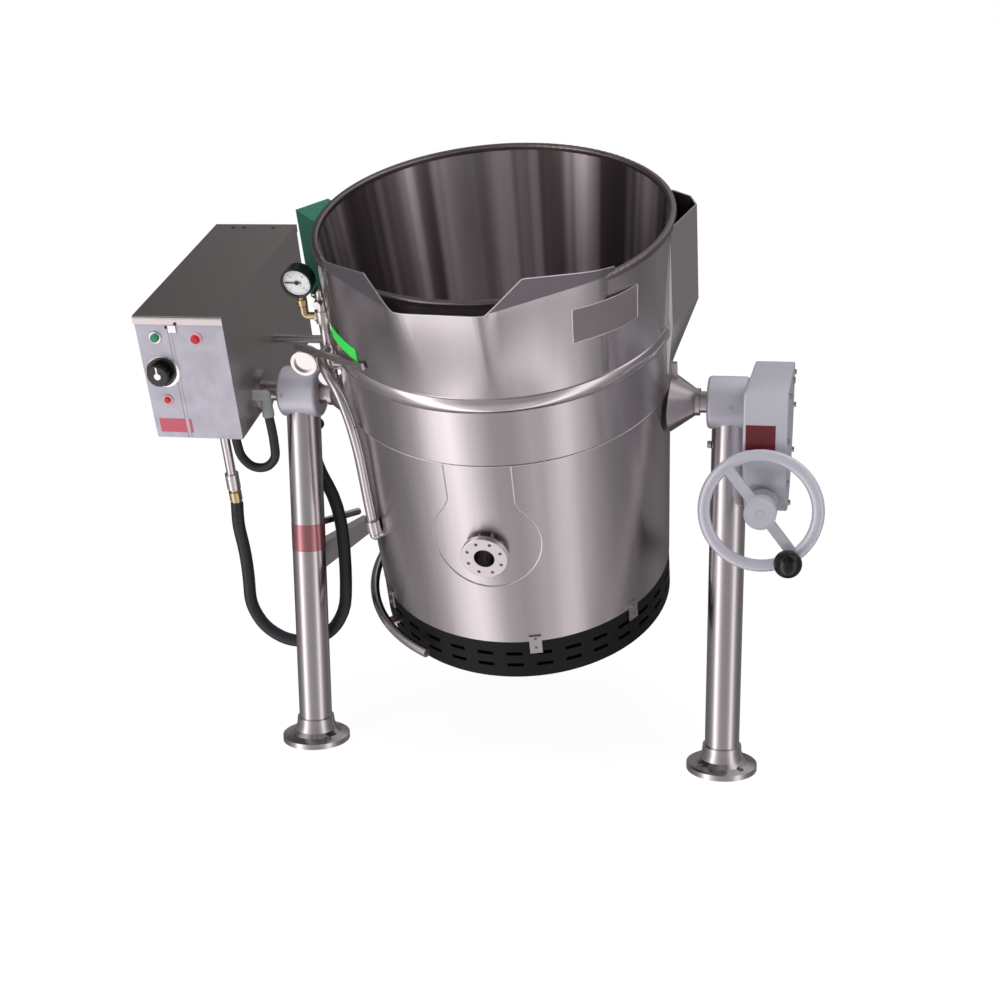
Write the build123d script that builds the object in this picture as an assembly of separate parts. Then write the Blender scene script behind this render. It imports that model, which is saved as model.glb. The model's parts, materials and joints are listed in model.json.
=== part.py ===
from build123d import *
import math
import os

# Steam jacketed kettle, gas heated, floor standing, tilted by a handwheel and worm.
# The kettle is drawn upright about its trunnion axis, then tilted to the rest pose.
# X runs along the trunnions, the pouring side faces -Y, Z is up. Millimetres.

# ---- stand ----
trunnion_height = 795.0
leg_half_spacing = 456.0
leg_outer_radius = 36.5
leg_wall = 3.0
foot_radius = 75.0
foot_thickness = 12.0
foot_bolt_circle_radius = 60.0
foot_bolt_hole_radius = 7.0
housing_radius = 54.0
housing_half_length = 43.0
shaft_radius = 22.0
bush_radius = 27.0
bush_clearance = 0.06

# ---- kettle ----
rest_tilt = 22.0
rim_outer_radius = 355.0
rim_inner_radius = 341.0
rim_height = 414.0
rim_depth = 12.0
bead_height = 197.0
bead_outer_radius = 344.0
jacket_radius = 339.0
jacket_seam_height = 56.0
bowl_bottom = -200.0
jacket_bottom = -245.0
skirt_top_radius = 334.0
skirt_bottom_radius = 320.0
skirt_bottom = -399.0
guard_bottom = -495.0
outlet_height = -157.0
outlet_bore_radius = 21.0
outlet_neck_radius = 24.5
outlet_flange_radius = 47.5
outlet_bolt_circle_radius = 36.0
outlet_bolt_hole_radius = 3.5
lip_turn = -3.0

# ---- tilting gear ----
gear_x = 533.0
gear_module = 4.0
gear_full_teeth = 72
gear_pitch_radius = 144.0
worm_pitch_radius = 23.0
worm_drop = 167.0
gearbox_radius = 215.0
gearbox_top = 55.0
gearbox_wall = 6.0
gearbox_inner_x = 493.5
gearbox_outer_x = 571.5
wheel_radius = 120.0
wheel_y = -228.0
knob_radius = 27.0
knob_angle = -59.0

# ---- console, drawn square to the kettle and then turned back a little ----
console_lean = -4.0
console_left = -735.0
console_right = -545.0
console_front = -152.0
console_back = 341.0
console_bottom = -37.0
console_top = 242.0
sheet = 1.5

os.makedirs("parts", exist_ok=True)

# the row's origin: on the floor, under the middle of the whole outline
origin_shift = Vector(41.75, 21.08, 0)


def cyl(p, q, r, bore=0.0):
    """Cylinder or tube from point p to point q."""
    a = Vector(*p)
    b = Vector(*q)
    d = b - a
    plane = Plane(origin=a, z_dir=d)
    body = Solid.make_cylinder(r, d.length, plane)
    if bore > 0:
        body = body - Solid.make_cylinder(bore, d.length, plane)
    return body


def cone(p, q, r1, r2):
    """Frustum from point p to point q."""
    a = Vector(*p)
    b = Vector(*q)
    d = b - a
    return Solid.make_cone(r1, r2, d.length, Plane(origin=a, z_dir=d))


def block(x0, x1, y0, y1, z0, z1):
    """Box between two corners."""
    w = Box(x1 - x0, y1 - y0, z1 - z0)
    return Pos((x0 + x1) / 2, (y0 + y1) / 2, (z0 + z1) / 2) * w


def ring(points):
    """Solid of revolution about the kettle axis from (radius, height) points."""
    face = make_face(Polyline([(r, 0, h) for r, h in points], close=True).edges())
    return revolve(face, Axis.Z, 360)


def prism_x(points, x0, x1):
    """Prism along X from (y, z) points."""
    face = make_face(Polyline([(x0, y, z) for y, z in points], close=True).edges())
    return extrude(face, amount=x1 - x0, dir=(1, 0, 0))


def prism_z(points, z0, z1):
    """Prism along Z from (x, y) points."""
    face = make_face(Polyline([(x, y, z0) for x, y in points], close=True).edges())
    return extrude(face, amount=z1 - z0, dir=(0, 0, 1))


def pipe(points, radii, r, bore=0.0):
    """Pipe along a rounded polyline."""
    path = FilletPolyline(*points, radius=radii)
    start = Plane(origin=path @ 0, z_dir=path % 0)
    body = sweep(start * Circle(r), path=path)
    if bore > 0:
        body = body - sweep(start * Circle(bore), path=path)
    return body


def tilted(shape):
    """From the upright kettle frame to the rest pose in the world."""
    return Pos(0, 0, trunnion_height) * shape.rotate(Axis.X, rest_tilt)


def leaned(shape):
    """From the console's own frame to the rest pose."""
    return tilted(shape.rotate(Axis.X, console_lean))


def raised(shape):
    """From heights about the trunnion axis to the world."""
    return Pos(0, 0, trunnion_height) * shape


made = []


def save(name, shape):
    """Write one node."""
    place = Pos(origin_shift.X, origin_shift.Y, origin_shift.Z)
    solids = [place * piece for piece in shape.solids()]
    shape = solids[0]
    if len(solids) > 1:
        shape = Compound(solids)
    export_step(shape, "parts/" + name + ".step")
    made.append(name)


# ------------------------------------------------------------------ stand
def leg(side):
    x = side * leg_half_spacing
    body = cyl((x, 0, foot_thickness), (x, 0, trunnion_height), leg_outer_radius)
    body = body - cyl((x, 0, foot_thickness), (x, 0, trunnion_height), leg_outer_radius - leg_wall)
    saddle = cyl((x - 60, 0, trunnion_height), (x + 60, 0, trunnion_height), housing_radius)
    return body - saddle


def foot_flange(side):
    x = side * leg_half_spacing
    profile = [
        (leg_outer_radius, foot_thickness),
        (0, foot_thickness),
        (0, 0),
        (foot_radius, 0),
        (foot_radius, foot_thickness),
        (foot_radius - 5, foot_thickness + 2),
        (56, foot_thickness + 6),
        (47, foot_thickness + 14),
        (42, foot_thickness + 28),
        (41, foot_thickness + 42),
        (leg_outer_radius, foot_thickness + 42),
    ]
    body = ring(profile)
    for k in range(4):
        a = math.radians(45 + 90 * k)
        hx = foot_bolt_circle_radius * math.cos(a)
        hy = foot_bolt_circle_radius * math.sin(a)
        body = body - cyl((hx, hy, -1), (hx, hy, 60), foot_bolt_hole_radius)
    return Pos(x, 0, 0) * body


def rear_arm(side):
    """Tapered arm running back from the leg, with a gusset above its root."""
    x = side * leg_half_spacing
    side_view = [(20, 385), (20, 445), (346, 434), (346, 398)]
    body = prism_x(side_view, x - 13, x + 13)
    gusset = prism_x([(20, 430), (20, 478), (50, 478), (95, 430)], x - 4, x + 4)
    body = body + gusset
    turn = -side * 5.0
    body = (Pos(-x, 0, 0) * body).rotate(Axis.Z, -turn)
    body = Pos(x, 0, 0) * body
    return body - cyl((x, 0, 300), (x, 0, 600), leg_outer_radius)


def bearing_housing(side):
    x = side * leg_half_spacing
    x0 = x - housing_half_length
    x1 = x + housing_half_length
    if side > 0:
        x0 = 411.0
        x1 = gearbox_inner_x
    body = cyl((x0, 0, 0), (x1, 0, 0), housing_radius)
    ends = body.edges().filter_by(GeomType.CIRCLE)
    body = fillet(ends, 7)
    body = body - cyl((x0 - 1, 0, 0), (x1 + 1, 0, 0), bush_radius)
    screw_x = x0 + 14 if side < 0 else x0 + 50
    hole = cyl((screw_x, -housing_radius - 2, 0), (screw_x, 0, 0), 4.0)
    return raised(body - hole)


def bearing_bushes():
    left = (-leg_half_spacing - housing_half_length, -leg_half_spacing + housing_half_length)
    right = (411.0, gearbox_inner_x)
    bore = shaft_radius + bush_clearance
    parts = [raised(cyl((a, 0, 0), (b, 0, 0), bush_radius, bore)) for a, b in (left, right)]
    return Compound(children=parts)


def bearing_screws():
    parts = []
    for x in (-leg_half_spacing - housing_half_length + 14, 461.0):
        parts.append(raised(cyl((x, -housing_radius + 2, 0), (x, -bush_radius, 0), 4.0)))
    return Compound(children=parts)


def gearbox_profile(offset):
    """D shape: a half round closed by a flat top."""
    r = gearbox_radius - offset
    top = gearbox_top - offset
    half = math.sqrt(r * r - top * top)
    arc = ThreePointArc((0, -half, top), (0, 0, -r), (0, half, top))
    line = Line((0, half, top), (0, -half, top))
    return make_face([arc, line])


def gearbox_solid(offset, x0, x1):
    return Pos(x0, 0, 0) * extrude(gearbox_profile(offset), amount=x1 - x0, dir=(1, 0, 0))


def gear_housing():
    outer = gearbox_solid(0, gearbox_inner_x, gearbox_outer_x)
    rim = outer.edges().filter_by(Plane.YZ).group_by(Axis.X)[0]
    outer = fillet(rim, 5)
    z = -worm_drop
    outer = outer + cyl((gear_x, -176, z), (gear_x, 0, z), 30)
    outer = outer + cyl((gear_x, 0, z), (gear_x, 158, z), 30)
    inner_x = gearbox_inner_x + gearbox_wall
    outer = outer - gearbox_solid(gearbox_wall, inner_x, gearbox_outer_x + 1)
    outer = outer - cyl((gearbox_inner_x - 1, 0, 0), (inner_x + 1, 0, 0), shaft_radius + 1)
    outer = outer - cyl((gear_x, -180, z), (gear_x, 150, z), 15)
    for y, h in cover_screw_places():
        outer = outer + cyl((inner_x, y, h), (gearbox_outer_x, y, h), 7)
        outer = outer - cyl((gearbox_outer_x - 20, y, h), (gearbox_outer_x + 1, y, h), 2.6)
    return raised(outer)


def cover_screw_places():
    r = gearbox_radius - 12
    places = [(r * math.cos(math.radians(a)), r * math.sin(math.radians(a))) for a in (-10, -38, -90, -142, -170)]
    return places + [(-150, gearbox_top - 12), (150, gearbox_top - 12)]


def gear_housing_cover():
    body = gearbox_solid(0, gearbox_outer_x, gearbox_outer_x + 6)
    rim = body.edges().filter_by(Plane.YZ).group_by(Axis.X)[-1]
    body = fillet(rim, 3)
    for y, h in cover_screw_places():
        body = body - cyl((gearbox_outer_x - 1, y, h), (gearbox_outer_x + 7, y, h), 3.2)
    return raised(body)


def cover_screws():
    parts = []
    for y, h in cover_screw_places():
        head = cyl((gearbox_outer_x + 6, y, h), (gearbox_outer_x + 11, y, h), 5.5)
        shank = cyl((gearbox_outer_x - 14, y, h), (gearbox_outer_x + 6, y, h), 2.5)
        parts.append(raised(head + shank))
    return Compound(children=parts)


def worm_bushes():
    z = -worm_drop
    front = cyl((gear_x, -176, z), (gear_x, -146, z), 15, 10.05)
    rear = cyl((gear_x, 120, z), (gear_x, 150, z), 15, 10.05)
    return Compound(children=[raised(front), raised(rear)])


def worm_shaft():
    """Shaft with a right hand, single start thread of the quadrant's module."""
    core = worm_pitch_radius - 1.25 * gear_module
    tip = worm_pitch_radius + 0.85 * gear_module
    pitch = math.pi * gear_module
    length = 6 * pitch
    body = cyl((0, 0, -148), (0, 0, 240), 10)
    body = body + cyl((0, 0, -46), (0, 0, 46), core)
    low = pitch / 4 - length / 2
    path = Helix(pitch, length, core - 0.4, center=(0, 0, low), direction=(0, 0, 1))
    start = Plane(origin=path @ 0, z_dir=path % 0, x_dir=(1, 0, 0))
    depth = tip - core + 0.4
    tooth = Polyline([(0, -3.4), (depth, -1.3), (depth, 1.3), (0, 3.4)], close=True)
    thread = sweep(start * make_face(tooth.edges()), path=path, is_frenet=True)
    body = (body + thread).rotate(Axis.X, 90)
    return raised(Pos(gear_x, 0, -worm_drop) * body)


def handwheel():
    z = -worm_drop
    section = Pos(wheel_radius - 12, 0, 0) * Ellipse(12, 8)
    rim = revolve(Plane.XZ * section, Axis.Z, 360)
    hub = Solid.make_cylinder(31, 34, Plane(origin=(0, 0, -8)))
    body = rim + hub
    for a in (128, 308):
        spoke = Box(wheel_radius - 42, 20, 11)
        spoke = Pos((wheel_radius + 10) / 2, 0, 4) * spoke
        body = body + spoke.rotate(Axis.Z, a)
    boss = Solid.make_cylinder(13, 17.5, Plane(origin=(wheel_radius - 13, 0, -8)))
    body = body + boss.rotate(Axis.Z, knob_angle)
    body = body - Solid.make_cylinder(10, 60, Plane(origin=(0, 0, -20)))
    stud_hole = Solid.make_cylinder(5, 60, Plane(origin=(wheel_radius - 13, 0, -20)))
    body = body - stud_hole.rotate(Axis.Z, knob_angle)
    body = body.rotate(Axis.X, 90)
    return raised(Pos(gear_x, wheel_y, z) * body)


def knob_place():
    a = math.radians(knob_angle)
    r = wheel_radius - 13
    return gear_x + r * math.cos(a), -worm_drop + r * math.sin(a)


def crank_stud():
    x, z = knob_place()
    body = cyl((x, wheel_y + 8, z), (x, wheel_y - 41, z), 5)
    return raised(body + cyl((x, wheel_y - 9.5, z), (x, wheel_y - 14, z), 9))


def crank_knob():
    x, z = knob_place()
    ball = Pos(x, wheel_y - 38, z) * Sphere(knob_radius)
    ball = ball - block(x - 40, x + 40, wheel_y - 14.3, wheel_y + 40, z - 40, z + 40)
    return raised(ball - cyl((x, wheel_y, z), (x, wheel_y - 42, z), 5.05))


def hose_hanger():
    x = -leg_half_spacing
    body = cyl((x + 9, 30, 495), (x + 69, 150, 495), 8)
    return body - cyl((x, 0, 400), (x, 0, 600), leg_outer_radius)


def gas_inlet_elbow():
    """Fixed gas supply fitting strapped to the back of the left leg."""
    x = -leg_half_spacing
    strap = block(x - 10, x + 10, leg_outer_radius, 50, 686, 712)
    body = cyl((x, 62, 676), (x, 62, 706), 15)
    body = body + cyl((x, 62, 676), (x, 62, 668), 11)
    body = body + Pos(x, 62, 706) * Sphere(15)
    body = body + cyl((x, 62, 706), (x, 96, 706), 13)
    strap = strap + block(x - 10, x + 10, 47, 52, 676, 712)
    body = body + strap
    return body - cyl((x, 0, 400), (x, 0, 740), leg_outer_radius)


# ------------------------------------------------------------------ kettle shells
def dish(wall_r, wall_h, bottom, knuckle):
    """Edges of a dished head in the XZ plane: a small knuckle arc, then a large crown arc."""
    reach = wall_r - knuckle
    drop = wall_h - bottom
    crown = (reach**2 + drop**2 - knuckle**2) / (2 * (drop - knuckle))
    centre = bottom + crown
    turn = math.atan2(centre - wall_h, reach)
    first = (wall_r, 0, wall_h)
    half = (reach + knuckle * math.cos(turn / 2), 0, wall_h - knuckle * math.sin(turn / 2))
    meet = (crown * math.cos(turn), 0, centre - crown * math.sin(turn))
    low = (turn + math.pi / 2) / 2
    middle = (crown * math.cos(low), 0, centre - crown * math.sin(low))
    return [ThreePointArc(first, half, meet), ThreePointArc(meet, middle, (0, 0, bottom))]


bowl_seam = 20.0
bowl_wall_radius = 312.0
bowl_knuckle = 150.0


def bowl_wall():
    """Rolled wall of the bowl, flaring slightly towards the rim."""
    top = rim_height - rim_depth
    t = 2.5
    points = [(bowl_wall_radius, bowl_seam), (322, 190), (rim_inner_radius, top)]
    outer = [(r + t, h) for r, h in reversed(points)]
    return ring(points + outer)


def dish_solid(offset):
    low = bowl_bottom - offset
    edges = dish(bowl_wall_radius + offset, bowl_seam, low, bowl_knuckle + offset)
    axis = Line((0, 0, low), (0, 0, bowl_seam))
    top = Line((0, 0, bowl_seam), (bowl_wall_radius + offset, 0, bowl_seam))
    return revolve(make_face([*edges, axis, top]), Axis.Z, 360)


def inner_bowl():
    return tilted(bowl_wall())


def bowl_dish():
    """Spun bottom of the bowl, with the hole that the draw-off's neck passes through."""
    body = dish_solid(2.5) - dish_solid(0)
    hole = cyl((0, -400, outlet_height), (0, 0, outlet_height), outlet_neck_radius)
    return tilted(body - hole)


def rim_ring():
    low = rim_height - rim_depth
    face = make_face(
        Polyline(
            [
                (rim_inner_radius, 0, low),
                (rim_outer_radius, 0, low),
                (rim_outer_radius, 0, rim_height),
                (rim_inner_radius, 0, rim_height),
            ],
            close=True,
        ).edges()
    )
    body = revolve(face, Axis.Z, 360)
    top = body.edges().filter_by(GeomType.CIRCLE).group_by(Axis.Z)[-1]
    return tilted(fillet(top, 5))


def upper_band():
    low = bead_height + 7
    high = rim_height - rim_depth
    body = ring([(341, low), (343, low), (353, high), (351, high)])
    return tilted(body)


def bead_ring():
    h = bead_height
    body = ring([(326, h - 7), (340, h - 7), (bead_outer_radius, h - 3), (bead_outer_radius, h + 3), (340, h + 7), (326.5, h + 7)])
    return tilted(body)


def jacket_face(offset):
    top = bead_height - 7
    r = jacket_radius - offset
    low_r = 330 - offset
    low = jacket_bottom + offset
    seam = jacket_seam_height + offset
    wall = Polyline(
        [
            (0, 0, top),
            (r, 0, top),
            (r, 0, seam),
            (low_r, 0, seam - 5),
            (low_r, 0, 20),
        ]
    )
    bottom = dish(low_r, 20, low, 170 - offset)
    axis = Line((0, 0, low), (0, 0, top))
    return make_face([*wall.edges(), *bottom, axis])


def steam_jacket():
    body = revolve(jacket_face(0), Axis.Z, 360) - revolve(jacket_face(4), Axis.Z, 360)
    body = body - cyl((0, -400, outlet_height), (0, -100, outlet_height), 25)
    return tilted(body)


def lower_skirt():
    h = jacket_seam_height - 6
    t = 2.0
    body = ring(
        [
            (skirt_top_radius - t, h),
            (skirt_top_radius, h),
            (skirt_bottom_radius, skirt_bottom),
            (skirt_bottom_radius - t, skirt_bottom),
        ]
    )
    body = body - cyl((0, -400, outlet_height), (0, -200, outlet_height), 25)
    body = body - cyl((-412, 176, -235), (-200, 85, -235), 15)
    return tilted(body)


def base_guard():
    """Slotted ring that lets air in to the burner."""
    r = 319.0
    top = skirt_bottom - 2
    body = ring([(r - 2, guard_bottom), (r, guard_bottom), (r, top), (r - 2, top)])
    pan_top = guard_bottom + 3
    body = body + ring([(r - 84, guard_bottom), (r - 2, guard_bottom), (r - 2, pan_top), (r - 84, pan_top)])
    count = 32
    cuts = []
    for row in (-432, -462):
        for k in range(count):
            cut = Pos(0, -r, row) * Box(34, 20, 9)
            cuts.append(cut.rotate(Axis.Z, 360.0 * (k + 0.5) / count))
    body = body - Compound(children=cuts)
    return tilted(body)


def guard_brackets():
    parts = []
    for a in (14, 55, 110, 180, 250, 305):
        plate = block(-13, 13, -323.9, -320.9, -428, -384)
        bolt = cyl((0, -323.9, -394), (0, -327.4, -394), 4.5)
        bolt2 = cyl((0, -323.9, -417), (0, -327.4, -417), 4.5)
        parts.append(tilted((plate + bolt + bolt2).rotate(Axis.Z, a)))
    return Compound(children=parts)


def burner_core():
    """The burner's ring, of eight-sided section."""
    section = []
    for k in range(8):
        turn = math.radians(22.5 + 45.0 * k)
        section.append((170 + 17 * math.cos(turn), -360 + 17 * math.sin(turn)))
    return ring(section)


def burner_ring():
    """Ring burner with a row of ports on top, under the jacket."""
    body = burner_core()
    for k in range(24):
        port = cyl((170, 0, -350), (170, 0, -330), 2.2)
        body = body - port.rotate(Axis.Z, 15.0 * k)
    for a in (60, 180, 300):
        arm = cyl((178, 0, -360), (318.5, 0, -360), 7)
        body = body + arm.rotate(Axis.Z, a)
    return tilted(body)


def burner_feed():
    """Gas pipe from the console, round behind the kettle and in through the skirt to the ring burner."""
    points = [
        (-545, 118, 61),
        (-412, 118, 61),
        (-374, 146, 24),
        (-363, 154, -205),
        (-330, 141, -235),
        (-205, 87, -235),
        (-168, 71, -345),
    ]
    radii = rounded_route([Vector(*p) for p in points])
    radii = [min(r, 60) for r in radii]
    body = pipe(points, radii, 9, 6)
    return tilted(body - burner_core())


def draw_off_neck():
    """Tube from the flange to the bowl, welded flush with the inside of the dish."""
    body = cyl((0, -338, outlet_height), (0, -90, outlet_height), outlet_neck_radius, outlet_bore_radius)
    return tilted(body - dish_solid(0))


def draw_off_flange():
    body = cyl((0, -351, outlet_height), (0, -338, outlet_height), outlet_flange_radius)
    rim = body.edges().filter_by(GeomType.CIRCLE)
    body = fillet(rim, 2)
    body = body - cyl((0, -352, outlet_height), (0, -337, outlet_height), outlet_bore_radius)
    for k in range(8):
        a = math.radians(45 * k + 22.5)
        x = outlet_bolt_circle_radius * math.cos(a)
        z = outlet_height + outlet_bolt_circle_radius * math.sin(a)
        body = body - cyl((x, -352, z), (x, -337, z), outlet_bolt_hole_radius)
    return tilted(body)


# ------------------------------------------------------------------ pour lip
lip_front = 394.0
lip_half_width = 84.0
lip_end_angle = 53.0
lip_round_radius = 355.8
lip_low_radius = 345.6
lip_low_height = 212.0
wing_top = 480.0


def lip_angles():
    """Angles from the front at which the lip's plan is taken."""
    corner = math.degrees(math.atan2(lip_half_width, lip_front))
    half = [corner * k / 2 for k in range(3)]
    half = half + [corner + (lip_end_angle - corner) * k / 10 for k in range(1, 11)]
    return [-a for a in reversed(half[1:])] + half


def lip_radius(angle):
    """Plan radius of the lip: flat front edge, straight cheeks, then round."""
    a = abs(angle)
    corner = math.degrees(math.atan2(lip_half_width, lip_front))
    reach = math.hypot(lip_half_width, lip_front)
    touch = corner + math.degrees(math.acos(lip_round_radius / reach))
    if a <= corner:
        return lip_front / math.cos(math.radians(a))
    if a < touch:
        return lip_round_radius / math.cos(math.radians(touch - a))
    return lip_round_radius


def lip_shell(grow):
    """Solid behind the lip's outer face, from the bead up to the wing tips."""
    wires = []
    for height, flared in ((lip_low_height, False), (rim_height, True), (wing_top, True)):
        pts = []
        for angle in lip_angles():
            r = lip_radius(angle) if flared else lip_low_radius
            b = math.radians(angle)
            pts.append(((r + grow) * math.sin(b), -(r + grow) * math.cos(b), height))
        pts.append((0, -60, height))
        wires.append(Wire(Polyline(pts, close=True).edges()))
    lower = Solid.make_loft([wires[0], wires[1]], ruled=True)
    upper = Solid.make_loft([wires[1], wires[2]], ruled=True)
    return lower + upper


def pour_lip():
    """Sheet lip: bulged front with a trapezoid notch between two upright wings."""
    body = lip_shell(2.0) - lip_shell(0.0)
    body = body - block(-400, 400, -212, 0, 180, 520)
    half = lip_half_width
    edge = rim_height - 4
    notch = [(-half, edge), (half, edge), (half + 82, edge + 70), (-half - 82, edge + 70)]
    face = make_face(Polyline([(x, -480, z) for x, z in notch], close=True).edges())
    body = body - extrude(face, amount=260, dir=(0, 1, 0))
    for side in (-1, 1):
        over = [(140, 462), (262, 430), (300, rim_height), (320, 520), (140, 520)]
        over = [(side * x, z) for x, z in over]
        face = make_face(Polyline([(x, -480, z) for x, z in over], close=True).edges())
        body = body - extrude(face, amount=400, dir=(0, 1, 0))
    return tilted(wall_clear(body, 0.1).rotate(Axis.Z, lip_turn))


# ------------------------------------------------------------------ sides of the kettle
def wall_clear(shape, extra=0.3):
    """Take the kettle's outer shells out of a side piece."""
    low = bead_height + 7
    high = rim_height - rim_depth
    rim = rim_outer_radius + extra
    bead = bead_outer_radius + extra
    band = [(0, low), (343 + extra, low), (353 + extra, high), (rim, high), (rim, 520), (0, 520)]
    wall = jacket_radius + extra
    jacket = [(0, -60), (wall, -60), (wall, bead_height - 7), (bead, bead_height - 7), (bead, low), (0, low)]
    return shape - ring(band) - ring(jacket)


def left_flue_box():
    """Square flue case standing cornerwise against the band."""
    plan = [(-300, -31), (-345, -31), (-413, 34), (-360, 87), (-300, 30)]
    inner = [(-300, -26), (-345, -26), (-408.5, 34), (-360, 82.5), (-300, 24)]
    body = prism_z(plan, 212, 408)
    return tilted(wall_clear(body) - prism_z(inner, 205, 405))


def right_flue_shroud():
    plan = [(300, -50), (349, -50), (389, 62), (374, 100), (338, 127), (300, 127)]
    inner = [(300, -40), (348, -46), (386, 61), (372, 98), (336, 124), (300, 124)]
    body = prism_z(plan, 205, 408)
    low = Polyline([(x, y, 205) for x, y in plan], close=True)
    foot_plan = [(300, -50), (338, -50), (343, 20), (341, 40), (325, 60), (300, 60)]
    foot = Polyline([(x, y, 95) for x, y in foot_plan], close=True)
    taper = Solid.make_loft([Wire(foot.edges()), Wire(low.edges())], ruled=True)
    body = body + taper
    body = body - prism_z(inner, 230, 420)
    return tilted(wall_clear(body))


def trunnion(side):
    """Shaft, conical root on the jacket, and an upright fin above it."""
    root = cone((320, 0, 0), (392, 0, 0), 74, 24)
    fin = block(320, 350, -4, 4, 40, 92)
    foot = cyl((330, 0, 0), (395, 0, 0), shaft_radius + 6)
    body = root + foot + fin
    clear = Solid.make_cylinder(jacket_radius + 0.2, 800, Plane(origin=(0, 0, -400)))
    body = body - clear
    end = 562.0 if side > 0 else 541.0
    body = body + cyl((392, 0, 0), (end, 0, 0), shaft_radius)
    if side > 0:
        return tilted(body)
    body = body.mirror(Plane.YZ)
    flange = cyl((-545, 0, 0), (-537, 0, 0), 48)
    return tilted(body + flange)


def sector_gear():
    """Toothed quadrant on the right trunnion."""
    teeth_front = 75.0
    teeth_back = 29.0
    tip = gear_pitch_radius + gear_module * 0.85
    root = gear_pitch_radius - gear_module * 1.2
    step = 360.0 / gear_full_teeth
    pts = []
    first = -int(teeth_back / step)
    last = int(teeth_front / step)
    for k in range(first, last + 1):
        a = k * step
        for da, r in ((-1.62, root), (-0.62, tip), (0.62, tip), (1.62, root)):
            b = math.radians(a + da)
            pts.append((-r * math.sin(b), -r * math.cos(b)))
    pts.append((-30, 24))
    pts.append((30, 24))
    body = prism_x(pts, gear_x - 9, gear_x + 9)
    hub = cyl((gear_x - 17, 0, 0), (gear_x + 17, 0, 0), 38)
    body = body + hub
    for a in (-8, 23, 54):
        b = math.radians(a)
        y = -92 * math.sin(b)
        z = -92 * math.cos(b)
        body = body - cyl((gear_x - 20, y, z), (gear_x + 20, y, z), 17)
    body = body - cyl((gear_x - 30, 0, 0), (gear_x + 30, 0, 0), shaft_radius)
    return raised(body)


# ------------------------------------------------------------------ fittings
gauge_at = (-402.0, -48.0, 292.0)
header_x = -363.0
header_y = -48.0


def gauge_case():
    x, y, z = gauge_at
    body = cyl((x, y - 16, z), (x, y + 16, z), 33)
    body = fillet(body.edges().filter_by(GeomType.CIRCLE), 3)
    body = body - cyl((x, y - 17, z), (x, y - 8, z), 29.5)
    return tilted(body - cyl((x, y - 9, z), (x, y - 5, z), 2.1))


def gauge_needle():
    x, y, z = gauge_at
    body = cyl((x, y - 11, z), (x, y - 5.2, z), 2)
    hand = block(x - 25, x + 9, y - 11, y - 9.8, z - 1.2, z + 1.2)
    cap = cyl((x, y - 12, z), (x, y - 9.8, z), 4.5)
    return tilted(body + hand + cap)


def gauge_stem():
    x, y, z = gauge_at
    body = cyl((x, y, z - 33.5), (x, y, z - 60), 6)
    body = body + cyl((x, y, z - 42), (x, y, z - 54), 10)
    end = header_x - 15
    bend = pipe([(x, y, z - 58), (x, y, z - 80), (end, y, z - 80)], [9], 7.5)
    return tilted(body + bend)


def fitting_manifold():
    """Upright header pipe carrying the gauge, the valve and the level fittings."""
    x, y = header_x, header_y
    level = gauge_at[2] - 80
    body = cyl((x, y, level + 14), (x, y, 62), 11)
    body = body + cyl((x - 15, y, level), (x, y, level), 11)
    body = body + cyl((x, y, level - 13), (x, y, level + 14), 15)
    body = body + cyl((x, y, 132), (x, y, 150), 16)
    body = body + cyl((x, y - 16, 88), (x, y, 88), 10)
    body = body + cyl((x, y, 66), (x, y, 46), 14)
    body = body + cyl((x, y, 96), (-325, y, 96), 9)
    return tilted(wall_clear(body))


def safety_valve():
    x, y = header_x, header_y
    z = gauge_at[2] - 66
    body = cyl((x, y, z), (x, y, z + 14), 11)
    body = body + cyl((x, y, z + 14), (x, y, z + 32), 10.5)
    body = body + cyl((x, y, z + 32), (x, y, z + 46), 8)
    body = body + cyl((x, y, z + 46), (x, y, z + 50), 2.5)
    return tilted(body + cyl((x, y, z + 23), (x, y - 26, z + 23), 8))


def safety_lever():
    x, y = header_x, header_y
    z = gauge_at[2] - 15.7
    body = block(x - 3, x + 3, y - 34, y, z, z + 3)
    return tilted(body + cyl((x - 4, y, z + 1.5), (x + 4, y, z + 1.5), 1.5))


def sight_glass():
    """Round level window on the side of the header."""
    x, y = header_x - 54, header_y
    body = cyl((x, y - 16, 106), (x, y + 16, 106), 30)
    body = fillet(body.edges().filter_by(GeomType.CIRCLE), 3)
    body = body - cyl((x, y - 17, 106), (x, y - 10, 106), 21)
    return tilted(body + cyl((x + 28, y, 106), (header_x - 11.2, y, 106), 9))


def fill_valve():
    x, y = header_x, header_y
    body = cyl((x, y - 16.2, 88), (x, y - 32, 88), 12)
    return tilted(body + cyl((x, y - 32, 88), (x, y - 40, 88), 17))


def level_pipe():
    """Pipe from the header down the outside of the jacket to its lowest part, with a union."""
    points = [
        (header_x, header_y - 12, 141),
        (-359, -112, 150),
        (-334, -160, 148),
        (-300, -197, 120),
        (-279, -219, 70),
        (-271, -222, 3),
        (-271, -217, -62),
        (-271, -213, -129),
        (-270, -212, -168),
        (-268, -211, -216),
    ]
    radii = rounded_route(points)
    body = pipe(points, radii, 10.5)
    union = cyl((-269.6, -212, -176), (-268.3, -211.2, -206), 15.5)
    body = body + union + cyl((-268, -211, -216), (-246, -195, -216), 10)
    body = body + Pos(-268, -211, -216) * Sphere(12)
    skirt_wall = Solid.make_cone(skirt_bottom_radius + 0.1, skirt_top_radius + 0.1, 449, Plane(origin=(0, 0, skirt_bottom)))
    body = body - skirt_wall
    collar = cyl((header_x, header_y, 100), (header_x, header_y, 180), 16.05)
    return tilted(body - collar)


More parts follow.
